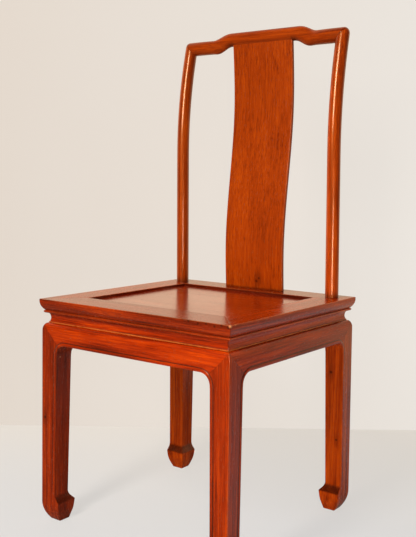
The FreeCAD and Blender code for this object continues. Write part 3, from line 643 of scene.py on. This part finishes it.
# %% Crest rail
RAISED_HALF, RAMP_RUN = 89.0, 50.0
UNDER_HALF, UNDER_RUN = 82.5, 45.0
SET_BACK, PLANING, HEADREST_HALF, HEADREST_RUN = 9.3, 0.8, 80.0, 100.0
NOOK_OUTER, NOOK_INNER = (84, 18), (72, 4)


def fading_share(x, start, run):
    """1 up to a distance from the middle, then half a cosine wave down to 0."""
    part = np.clip((np.abs(x) - start) / run, 0, 1)
    return (1 + np.cos(math.pi * part)) / 2


def crest_rings():
    """Ovals at stations along X that lean with the stiles' tips. Their tops and undersides are each raised
    by a fading share, and another one thins them from the front and moves them back. On a ramp an oval is
    taller by the ramp's own slant."""
    headrest_x, ramp_x = np.linspace(0, 80, 12), np.linspace(82, 142, 30)
    end_x = np.linspace(146, corner[0] - 18, 8)
    x = np.concatenate([headrest_x, ramp_x, end_x])
    raised, under = fading_share(x, RAISED_HALF, RAMP_RUN), fading_share(x, UNDER_HALF, UNDER_RUN)
    headrest = fading_share(x, HEADREST_HALF, HEADREST_RUN)
    slant = np.hypot(1, np.gradient(CREST_RISE * raised, x))
    tall = (CREST_HALF * slant + CREST_RISE * (raised - under) / 2)[:, None] * np.cos(around)
    deep = (BACK_RADIUS - (SET_BACK + PLANING) / 2 * headrest)[:, None] * np.sin(around)
    level = CREST_END + CREST_RISE * (raised + under) / 2
    centre = np.stack([x, corner[1] + (SET_BACK - PLANING) / 2 * headrest, level], axis=-1)
    rings = centre[:, None] + (tall[..., None] * tip + deep[..., None] * behind)
    share = np.array((0.3, 0.46) + LAST_SHARES)[:, None]
    end = np.repeat(rings[-1:], len(share), axis=0)
    end[..., 0] += share * (corner[0] + BACK_RADIUS * np.cos(around) - rings[-1, :, 0])
    rings = np.concatenate([rings, closed_corner(end)])
    return np.concatenate([rings[:0:-1] * MIRROR, rings])


def underside_shade(rings):
    """How dark a crest rail's points are painted, as shade: its underside is darker, and most in the two
    nooks next to the splat."""
    underside = np.clip(-np.cos(around) - 0.35, 0, 0.4) / 0.4
    x = rings.mean(axis=1)[:, :1]
    nook = fading_share(x, *NOOK_OUTER) - fading_share(x, *NOOK_INNER)
    return underside * (0.4 + 0.6 * nook)


rings = crest_rings()
make_piece("crest_rail", [skin(rings, shade=underside_shade(rings))])

# %% [markdown]
# ## The splat
# The splat is the thin board behind a sitter's back, cut to a long S in side view. Its middle line is a
# smooth curve through five stations: each piece of it is a cubic, and neighbouring cubics share their slope
# and bend. A section of the board, a rounded rectangle a little wider at the head, is carried up that line.
# A plane bent by a curve modifier would look alike, but its head would not meet the crest rail at a known
# depth.

# %% Splat
SPLAT_FOOT, SPLAT_HEAD, SPLAT_THICKNESS, SPLAT_EASE = 153.0, 158.0, 8.5, 1.6
SPLAT_SHARES = np.array([0.0, 0.16, 0.39, 0.71, 1.0])
SPLAT_SWAY = np.array([0.0, -6.3, 0.0, 13.4, 0.0])
SPLAT_INSET = 32.0


def smooth_through(stations, values, at):
    """The natural cubic through stations: bends from a linear system, 0 at both ends, then the spans."""
    step, slope = np.diff(stations), np.diff(values) / np.diff(stations)
    inner = np.diag(2 * (step[:-1] + step[1:])) + np.diag(step[1:-1], 1) + np.diag(step[1:-1], -1)
    bend = np.concatenate([[0], np.linalg.solve(inner, 6 * np.diff(slope)), [0]])
    span = np.clip(np.searchsorted(stations, at) - 1, 0, len(step) - 1)
    left, right = stations[span + 1] - at, at - stations[span]
    width = step[span]
    return (bend[span] * left ** 3 + bend[span + 1] * right ** 3) / (6 * width) + (
        (values[span] / width - bend[span] * width / 6) * left
        + (values[span + 1] / width - bend[span + 1] * width / 6) * right)


def splat_rings():
    """The board's section at levels up its middle line; the head ends inside the crest rail."""
    start, end = SEAT_DEPTH / 2 - SPLAT_INSET, corner[1]
    stations = SEAT_TOP + (CREST_RAISED - SEAT_TOP) * SPLAT_SHARES
    level = np.linspace(SEAT_TOP, CREST_RAISED, 110)
    middle = smooth_through(stations, start + (end - start) * SPLAT_SHARES + SPLAT_SWAY, level)
    part = (level - SEAT_TOP) / (CREST_RAISED - SEAT_TOP)
    half = (SPLAT_FOOT + (SPLAT_HEAD - SPLAT_FOOT) * part) / 2
    side, thick, ease = SPLAT_FOOT / 2, SPLAT_THICKNESS / 2, SPLAT_EASE
    section = eased([(-side, -thick, ease), (0, -thick, 0.0), (side, -thick, ease),
                     (side, thick, ease), (0, thick, 0.0), (-side, thick, ease)])
    x = section[:, 0] + np.sign(section[:, 0]) * (half[:, None] - side)
    y = section[:, 1] + middle[:, None]
    return np.stack(np.broadcast_arrays(x, y, level[:, None]), axis=-1)


make_piece("splat", [skin(splat_rings())])

# %% [markdown]
# ## Shader maths
# A finish is worked out with numbers that change over the surface. Nodes could be placed and linked one by
# one, but a long finish written so is hard to read. The small class below wraps such a number, so that the
# lines of a finish read like arithmetic; each operator adds one Math node.

# %% Fields
def arithmetic(operation):
    """An operator's two methods, with the field first and, reflected, with the field second."""
    return (lambda field, other: field.maths(operation, field, other),
            lambda field, other: field.maths(operation, other, field))


class Field:
    """One output socket of a node tree. Arithmetic with numbers or other fields adds Math nodes."""

    __add__, __radd__ = arithmetic("ADD")
    __sub__, __rsub__ = arithmetic("SUBTRACT")
    __mul__, __rmul__ = arithmetic("MULTIPLY")
    __pow__, __rpow__ = arithmetic("POWER")

    def __init__(self, finish, socket):
        self.finish = finish
        self.socket = socket

    def also(self, output):
        """Another output of the same node."""
        return Field(self.finish, self.socket.node.outputs[output])

    def maths(self, operation, first, second, **settings):
        """One Math node of two values."""
        return self.finish.node("ShaderNodeMath", {"operation": operation, **settings}, {0: first, 1: second})

    def clipped(self):
        """Held between 0 and 1."""
        return self.maths("ADD", self, 0.0, use_clamp=True)

    def step(self, low, high):
        """0 below low, 1 above high, straight between."""
        return ((self - low) * (1.0 / (high - low))).clipped()


print("reflected operators:", [name for name in vars(Field) if name.startswith("__r")])

# %% Finishes
class Finish:
    """A material with one Principled shader whose constant values are set on its own sockets."""

    def __init__(self, name, **constants):
        self.material = bpy.data.materials.new(name)
        self.material.use_nodes = True
        self.tree = self.material.node_tree
        self.shader = self.tree.nodes["Principled BSDF"]
        for socket, value in constants.items():
            self.shader.inputs[socket.replace("_", " ")].default_value = value

    def node(self, kind, settings=None, inputs=None, output=0):
        """Any node: first its settings, a ramp's stops among them, then its sockets' values or links."""
        new = self.tree.nodes.new(kind)
        for key, value in (settings or {}).items():
            if key == "stops":
                ramp = new.color_ramp
                for place, _ in value[2:]:
                    ramp.elements.new(place)
                for element, (place, colour) in zip(ramp.elements, sorted(value)):
                    element.position = place
                    element.color = colour + (1.0,)
            else:
                setattr(new, key, value)
        for socket, value in (inputs or {}).items():
            if isinstance(value, Field):
                self.tree.links.new(value.socket, new.inputs[socket])
            else:
                new.inputs[socket].default_value = value
        return Field(self, new.outputs[output])

    def place(self):
        """The object's own coordinates, in metres, as three fields."""
        spot = self.node("ShaderNodeTexCoord", output="Object")
        x = self.node("ShaderNodeSeparateXYZ", None, {0: spot})
        return x, x.also(1), x.also(2)

    def noise(self, a, b, c, detail=2.0, roughness=0.5):
        """Soft noise about 0.5 of three fields that are already scaled."""
        spot = self.node("ShaderNodeCombineXYZ", None, {0: a, 1: b, 2: c})
        return self.node("ShaderNodeTexNoise", None, {
            "Vector": spot, "Scale": 1.0, "Detail": detail, "Roughness": roughness})

    def point_field(self, name):
        """A number that the mesh keeps for each of its points."""
        return self.node("ShaderNodeAttribute", {"attribute_name": name}, output="Fac")

    def mix(self, factor, first, second):
        """From the first colour to the second, each a field or three numbers."""
        first, second = (tone + (1.0,) if isinstance(tone, tuple) else tone for tone in (first, second))
        return self.node("ShaderNodeMix", {"data_type": "RGBA"}, {0: factor, 6: first, 7: second}, output=2)

    def near(self, spot, size, stretch=(1.0, 1.0, 1.0)):
        """1 at a spot in millimetres, fading to 0 at its size: a step of the sum of the squared distances.
        A stretch makes it longer along an axis."""
        axes = zip(self.place(), spot, stretch)
        away = sum(((axis - at * MM) * (1.0 / (size * MM * longer))) ** 2.0 for axis, at, longer in axes)
        return 1.0 - away.step(0.2, 1.0)

    def feed(self, socket, field):
        """A field goes into a socket of the shader."""
        self.tree.links.new(field.socket, self.shader.inputs[socket])

    def bump(self, height, distance, strength=1.0):
        """A height moves the shader's normal."""
        self.feed("Normal", self.node("ShaderNodeBump", None, {
            "Height": height, "Distance": distance, "Strength": strength}))


print("a finish can", [name for name in vars(Finish) if not name.startswith("_")])

# %% [markdown]
# ## Lacquered rosewood
# Wood is a solid pattern, not a skin: year rings run round the tree's heart, and a board shows where it
# cuts them. Painted-on grain would break at every edge, so the finish works in three dimensions. The
# distance from a heart line that runs along the grain, bent a little by slow noise, drives long streaks; on
# top come fine fibres, short dark pores and slow clouds of tone. Arrises rub pale, the mouldings get painted
# highlight lines, hollows are darker, joints are dark, and recesses, grooves and undersides get painted
# shade.
# A clear lacquer fills most of the pores, so the gloss is even, with a little dullness where they are open.

# %% Tones of the wood
# Each board's darkest, middle and brightest tone
RED = (0.10, 0.006, 0.0003), (0.345, 0.022, 0.0004), (0.62, 0.060, 0.001)
BROWN = (0.07, 0.005, 0.0003), (0.245, 0.017, 0.0004), (0.46, 0.044, 0.001)
DEEP = (0.10, 0.004, 0.0003), (0.33, 0.018, 0.0004), (0.58, 0.050, 0.001)
GOLDEN = (0.12, 0.010, 0.0003), (0.34, 0.038, 0.0006), (0.58, 0.085, 0.0014)
WARM = (0.13, 0.010, 0.0003), (0.40, 0.038, 0.0006), (0.66, 0.088, 0.0014)
TAWNY = (0.11, 0.008, 0.0003), (0.31, 0.031, 0.0005), (0.54, 0.072, 0.0012)
# The pale of rubbed arrises, which also paints highlight lines along the mouldings; then the dark of joints
# and hollows, which also carries painted shade.
WORN_AND_HIGHLIGHT, JOINT_AND_SHADE_DARK = (0.60, 0.16, 0.025), (0.03, 0.005, 0.002)
KNOT, CHIP = (0.035, 0.004, 0.0006), (0.62, 0.24, 0.09)

# The lacquer's tints
AMBER, HONEY, GILT = (1.0, 0.6, 0.45, 1.0), (1.0, 0.5, 0.25, 1.0), (1.0, 0.42, 0.08, 1.0)
LACQUER_IOR, PORE_DEPTH, KNOT_HALO = 1.45, 0.00025, 1.6
print("middle tones:", [tones[1] for tones in (RED, BROWN, DEEP, GOLDEN, WARM, TAWNY)])

# %% Rosewood finish
def rosewood(name, grain, heart, tones=RED, rings=150.0, gloss=0.2, tint=AMBER, contrast=1.0, relief=0.3,
             coat=0.0, coat_gloss=0.1, mirror=0.5, figure=0.02, streaks=1.2, flecks=0.3, wear_and_highlight=1.0,
             knots=(), chips=()):
    """Rosewood whose grain runs along an axis. The heart is the tree's middle across the grain, in metres,
    rings how many streaks a metre across holds, figure how far they sway. Noise about 0.5, scaled per metre
    across and along the grain, adds up to a tone on the ramp from the dark to the bright. Knots and chips
    are spots with a size, in millimetres."""
    dark, body, bright = tones
    finish = Finish(name, IOR=LACQUER_IOR, Specular_IOR_Level=mirror, Specular_Tint=tint, Coat_Weight=coat,
                    Coat_Roughness=coat_gloss)
    x, y, z = finish.place()
    u, v, along = {"X": (y, z, x), "Y": (z, x, y), "Z": (x, y, z)}[grain]
    drift = finish.noise(u * 9.0, v * 9.0, along * 1.7, 2.0) - 0.5
    sway = finish.noise(u * 5.0 + 3.7, v * 5.0, along * 2.3, 1.0) - 0.5
    ring = ((u - heart[0] + sway * figure) ** 2.0 + (v - heart[1]) ** 2.0) ** 0.5 + drift * figure
    streak = finish.noise(ring * rings, along * 2.6, 0.7, 5.0, 0.65)
    u, v = u + drift * 0.006, v + sway * 0.006
    line = finish.noise(u * 300.0, v * 300.0, along * 8.0, 3.0, 0.6)
    fibre = finish.noise(u * 900.0, v * 900.0, along * 22.0, 2.0, 0.6)
    cloud = finish.noise(u * 14.0, v * 14.0, along * 4.0 + 9.0, 2.0)
    pores = finish.noise(u * 620.0, v * 620.0, along * 75.0, 1.0).step(0.62, 0.76)
    fleck = finish.noise(u * 420.0, v * 420.0, along * 48.0, 2.0, 0.6).step(0.56, 0.7)
    mixed = (streak - 0.5) * streaks + (line - 0.5) + (fibre - 0.5) * 0.8 + (cloud - 0.5) * 0.6
    colour = finish.node("ShaderNodeValToRGB", {"stops": [
        (0.1, dark), (0.5, body), (0.95, bright)]}, {0: mixed * contrast + 0.5})
    colour = finish.mix((pores * 0.5 + fleck * flecks).clipped(), colour, dark)
    stretch = tuple(4.0 if axis == grain else 1.0 for axis in "XYZ")
    for spot, size in knots:
        colour = finish.mix(finish.near(spot, size * KNOT_HALO, stretch) * 0.45, colour, dark)
        colour = finish.mix(finish.near(spot, size) * 0.8, colour, KNOT)

    # Arrises rub pale, and the mouldings also get painted highlight lines; hollows are darker, joints are
    # dark, and recesses, grooves, the ankles above the hoofs and the crest's underside get painted shade
    bend, joint = finish.point_field("bend"), finish.point_field("joint")
    rub = finish.noise(x * 60.0, y * 60.0, z * 60.0, 3.0, 0.6).step(0.36, 0.66)
    worn_and_highlight = bend.step(0.25, 1.2) * (rub * 0.28 + 0.2) * wear_and_highlight
    hollow_dark = (bend * -1.0).step(0.1, 0.9) * 0.6
    colour = finish.mix(worn_and_highlight, colour, WORN_AND_HIGHLIGHT)
    colour = finish.mix((hollow_dark + joint * 0.7).clipped(), colour, JOINT_AND_SHADE_DARK)
    for spot, size in chips:
        colour = finish.mix(finish.near(spot, size) * (rub * 0.7 + 0.2), colour, CHIP)
    finish.feed("Base Color", colour)
    if coat:
        finish.feed("Coat Weight", ((streak + line) * 1.5 - 0.7).clipped() * 0.7 * coat + 0.65 * coat)
    finish.feed("Roughness", gloss + cloud * 0.06 + pores * 0.14 + worn_and_highlight * 0.15 + hollow_dark * 0.3)
    finish.bump(fibre * 0.25 - pores, PORE_DEPTH, relief)
    print(name, "nodes", len(finish.tree.nodes))
    return finish

# %% [markdown]
# The chair's pieces were sawn from several boards, so each kind has its own heart, tones and gloss, but the
# right stile's and the back legs' brighter tones are painted light. One finish for all would make the chair
# look cast in one. Knots, dark flecks and pale chips on corners are given in millimetres on the chair.

# %% Boards
worn_corner = (((237, -229, 456), 4.0), ((238, -216, 457), 2.5))
edge_spots = (147, 455), (168, 453), (186, 455), (204, 452), (219, 455), (233, 453)
dark_edge = tuple(((x, -SEAT_DEPTH / 2, z), 3.0) for x, z in edge_spots)
splat_knots = ((9, 191, 475), 5.0), ((16, 191, 482), 4.0), ((35, 215, 961), 2.5), ((52, 217, 846), 2.5)
leg_knots, leg_chips = (((-225.6, -226.5, 214), 4.0),), (((-193, -216, 341), 2.2),)
back_leg_knots = ((207.5, 185.5, 298), 4.0), ((222, 187, 154), 3.0)
round_bar = {"tint": GILT, "relief": 0.05}

# On the across and deep boards the pale of the edges is raised, which paints highlight lines along their
# mouldings over the rubbing of the arrises.
finishes = {
    "X": rosewood("rosewood_across", "X", (0.09, 0.33), wear_and_highlight=1.6),
    "X_rail": rosewood("rosewood_rail", "X", (0.09, 0.33), BROWN, coat=0.15, coat_gloss=0.2,
                       knots=dark_edge, chips=worn_corner),
    "Y": rosewood("rosewood_deep", "Y", (0.35, 0.12), tint=HONEY, wear_and_highlight=1.6, chips=worn_corner),
    "leg": rosewood("rosewood_leg", "Z", (0.06, -0.09), BROWN, wear_and_highlight=0.5, knots=leg_knots, chips=leg_chips),
    # The back legs' brighter tones are painted light, standing in for light that reaches them under the seat.
    "back_leg": rosewood("rosewood_back_leg", "Z", (0.06, -0.09), WARM, tint=HONEY, wear_and_highlight=0.5,
                         knots=back_leg_knots),
}
# The right stile's tones are brighter than the left's: painted light.
for side, tones in (("left", TAWNY), ("right", WARM)):
    finishes[side + "_stile"] = rosewood("rosewood_" + side + "_stile", "Z", (0.03, 0.05), tones, gloss=0.27,
                                         contrast=0.9, mirror=1.0, coat=0.3, coat_gloss=0.16, **round_bar)
finishes["crest_rail"] = rosewood("rosewood_crest", "X", (0.14, 0.95), TAWNY, gloss=0.3, contrast=0.7,
                                  mirror=0.4, coat=0.2, coat_gloss=0.15, **round_bar)
finishes["splat"] = rosewood("rosewood_splat", "Z", (0.9, 0.25), GOLDEN, rings=120.0, contrast=0.7,
                             figure=0.006, streaks=0.5, flecks=0.6, knots=splat_knots)
finishes["panel"] = rosewood("rosewood_panel", "X", (0.03, 0.30), DEEP, gloss=0.17, relief=0.2, coat=0.4,
                             coat_gloss=0.16, mirror=0.8)

# %% Boards on the pieces
GRAINS = {"front": "X", "back": "X", "left": "Y", "right": "Y"}
KEPT_SOLIDS = {"seat_panel": "panel", "left_panel_batten": "Y", "right_panel_batten": "Y",
               "frame_pegs": "leg", "crest_pegs": "Y"}


def board_of(node):
    """Rails, waist strips and aprons take the board of their side's grain, legs that of front or back, and
    the others have their own."""
    side, _, kind = node.partition("_")
    if kind == "seat_rail" and GRAINS[side] == "X":
        return "X_rail"
    if kind in ("seat_rail", "waist_strip", "apron"):
        return GRAINS[side]
    if kind.endswith("leg"):
        return "back_leg" if side == "back" else "leg"
    return node


for node, piece in shown.items():
    piece.data.materials.append(finishes[board_of(node)].material)
for node, board in KEPT_SOLIDS.items():
    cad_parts[node].material_slots[0].material = finishes[board].material
print("pieces with a board:", len(shown), "and kept solids:", len(KEPT_SOLIDS))

# %% [markdown]
# ## Camera
# The camera stands where the photograph was taken: in front, to the right and a little above the seat. It
# could be aimed by eye, but its angles and its place were solved from the chair's own corners, so they are
# written as numbers. The lens is shifted, because the photograph's middle lies below the lens's own axis.

# %% Camera
YAW, PITCH, ROLL = (math.radians(angle) for angle in (36.8, 3.32, 0.74))
CAMERA_PLACE = Vector((1.0565, -1.3921, 0.7099))
FOCAL, CENTRE_Y, TALL, SENSOR = 844.14, 225.21, 537.0, 36.0
forward = Vector((-math.sin(YAW) * math.cos(PITCH), math.cos(YAW) * math.cos(PITCH), -math.sin(PITCH)))
level_right = Vector((math.cos(YAW), math.sin(YAW), 0.0))
level_up = level_right.cross(forward)
right = level_right * math.cos(ROLL) + level_up * math.sin(ROLL)
up = level_up * math.cos(ROLL) - level_right * math.sin(ROLL)
camera_data = bpy.data.cameras.new("camera")
camera_data.sensor_width = SENSOR
camera_data.lens = SENSOR * FOCAL / TALL
camera_data.shift_y = -(TALL / 2 - CENTRE_Y) / TALL
camera = bpy.data.objects.new("camera", camera_data)
camera.matrix_world = Matrix.Translation(CAMERA_PLACE) @ Matrix((right, up, -forward)).transposed().to_4x4()
bpy.context.scene.collection.objects.link(camera)
bpy.context.scene.camera = camera
print("lens", round(camera_data.lens, 2), "shift", round(camera_data.shift_y, 4))

# %% [markdown]
# ## Floor and backdrop
# The chair stands on a pale floor before a plain pale backdrop, which is seen only from its front. Bright
# lamps on grey paper would make them pale, but would bleach the wood. So a part of what the camera sees is
# the paper's own tone, and the rest is lit and keeps the chair's shadow. Polished wood shows what stands
# round it, so for mirrored rays the papers have tones of their own, in place of a furnished studio.

# %% Floor and backdrop
FLOOR_PAPERS = (0.80, 0.82, 0.85), (1.0, 0.93, 0.84)
WALL_PAPERS = (0.82, 0.73, 0.64), (0.92, 0.87, 0.81)
FLOOR_MIRRORED = (0.2, 0.14, 0.1), (0.2, 0.4, (0.38, 0.6, 0.64)), (0.95, 1.3, (0.34, 0.30, 0.22))
WALL_MIRRORED = ((1.12, 0.80, 0.54),)
DUSK, DUSK_SHARE, MIRRORED_SHARE = (0.1, 0.09, 0.08), 0.5, 0.9
FLOOR_HALF, WALL_LEFT, WALL_RIGHT, WALL_TALL, WALL_AWAY = 4, 3, 4, 3.2, 2.351


def stage_plane(name, corners, wash, papers, mirrored, glow, one_sided=False):
    """A four-cornered plane of the floor or the backdrop. Its paper goes from one tone to another along the
    direction of the wash, and glow is the share of it that the camera sees unlit. The wood mirrors the
    plane in tones of its own: one on the left, then others over stretches of X."""
    mesh = bpy.data.meshes.new(name)
    mesh.from_pydata(corners, [], [(0, 1, 2, 3)])
    plane = bpy.data.objects.new(name, mesh)
    bpy.context.scene.collection.objects.link(plane)
    finish = Finish(name, Roughness=0.6, IOR=1.3)
    x, y, z = finish.place()
    blotch = finish.noise(x * 1.5, y * 1.5, z * 1.5, 3.0) - 0.5
    share = (x * wash[0] + y * wash[1]).step(-0.7, 0.7) + blotch * 0.3
    paper = finish.mix(share.clipped(), *papers)
    finish.feed("Base Color", finish.mix(DUSK_SHARE, paper, DUSK))
    rays = finish.node("ShaderNodeLightPath", output="Is Camera Ray")
    glossy = rays.also("Is Glossy Ray")
    seen = ((rays + rays.also("Is Transmission Ray")) * glow + glossy * MIRRORED_SHARE).clipped()
    tone = mirrored[0]
    for start, end, colour in mirrored[1:]:
        tone = finish.mix(x.step(start, end), tone, colour)
    shade = finish.mix(glossy, paper, tone)
    pale = finish.node("ShaderNodeEmission", None, {0: shade, 1: 1.0})
    lit = Field(finish, finish.shader.outputs[0])
    surface = finish.node("ShaderNodeMixShader", None, {0: seen, 1: lit, 2: pale})
    if one_sided:
        clear = finish.node("ShaderNodeBsdfTransparent")
        behind_it = finish.node("ShaderNodeNewGeometry", output="Backfacing")
        surface = finish.node("ShaderNodeMixShader", None, {0: behind_it, 1: surface, 2: clear})
    finish.tree.links.new(surface.socket, finish.tree.nodes["Material Output"].inputs["Surface"])
    mesh.materials.append(finish.material)
    print(name, "nodes", len(finish.tree.nodes))


floor_signs = (-1, -1), (1, -1), (1, 1), (-1, 1)
floor_corners = [(x * FLOOR_HALF, y * FLOOR_HALF, 0) for x, y in floor_signs]
away = Vector((-math.sin(YAW), math.cos(YAW), 0.0))
wall_foot = Vector((CAMERA_PLACE.x, CAMERA_PLACE.y, 0.0)) + away * WALL_AWAY
left_foot, right_foot = wall_foot - level_right * WALL_LEFT, wall_foot + level_right * WALL_RIGHT
wall_top = Vector((0.0, 0.0, WALL_TALL))
wall_corners = [left_foot, right_foot, right_foot + wall_top, left_foot + wall_top]
stage_plane("floor", floor_corners, away, FLOOR_PAPERS, FLOOR_MIRRORED, 0.67)
stage_plane("wall", wall_corners, level_right, WALL_PAPERS, WALL_MIRRORED, 0.85, one_sided=True)

# %% [markdown]
# ## Light
# Two soft lamps stand on the camera's side: a tall one in front, and a weak one low on the right that
# reaches the feet under the seat. A single strong lamp would do for the colours, but it would leave the
# feet black and cut hard shadows. The world fills the shadows softly. It is dimmer for mirrored rays, so
# that the lacquer stays dark where no lamp shows in it, and paler for the camera.

# %% Light
def lamp(name, place, aim, size, power, beam, colour):
    """A flat lamp at a place, facing an aim, whose light keeps to a beam of so many degrees."""
    data = bpy.data.lights.new(name, "AREA")
    data.shape = "RECTANGLE"
    data.size, data.size_y = size
    data.energy = power
    data.spread = math.radians(beam)
    data.color = colour
    light = bpy.data.objects.new(name, data)
    facing = (Vector(aim) - Vector(place)).to_track_quat("-Z", "Y")
    light.matrix_world = Matrix.Translation(Vector(place)) @ facing.to_matrix().to_4x4()
    bpy.context.scene.collection.objects.link(light)
    print(name, power, "W")


lamp("key_lamp", (0.05, -1.75, 1.6), (0.0, 0.0, 0.6), (0.4, 1.0), 47.0, 180, (1.0, 0.97, 0.95))
lamp("low_lamp", (1.2, -1.45, 0.3), (0.2, 0.15, 0.15), (0.4, 0.4), 1.6, 50, (1.0, 0.93, 0.84))

# %% World
SKY = (0.92, 0.90, 0.88, 1.0)
world = bpy.data.worlds.new("studio")
bpy.context.scene.world = world
world.use_nodes = True
tree = world.node_tree
rays = tree.nodes.new("ShaderNodeLightPath")


def sky(strength):
    """A plain pale sky of a strength."""
    background = tree.nodes.new("ShaderNodeBackground")
    background.inputs["Color"].default_value = SKY
    background.inputs["Strength"].default_value = strength
    return background


def sky_for(ray, others, own):
    """One sky for a kind of ray, the other for all others."""
    either = tree.nodes.new("ShaderNodeMixShader")
    for number, source in enumerate((rays.outputs[ray], others.outputs[0], own.outputs[0])):
        tree.links.new(source, either.inputs[number])
    return either


dimmed = sky_for("Is Glossy Ray", sky(0.24), sky(0.06))
whole = sky_for("Is Camera Ray", dimmed, sky(0.85))
tree.links.new(whole.outputs[0], tree.nodes["World Output"].inputs["Surface"])
bpy.context.scene.view_settings.view_transform = "Standard"
print("world nodes", len(tree.nodes))
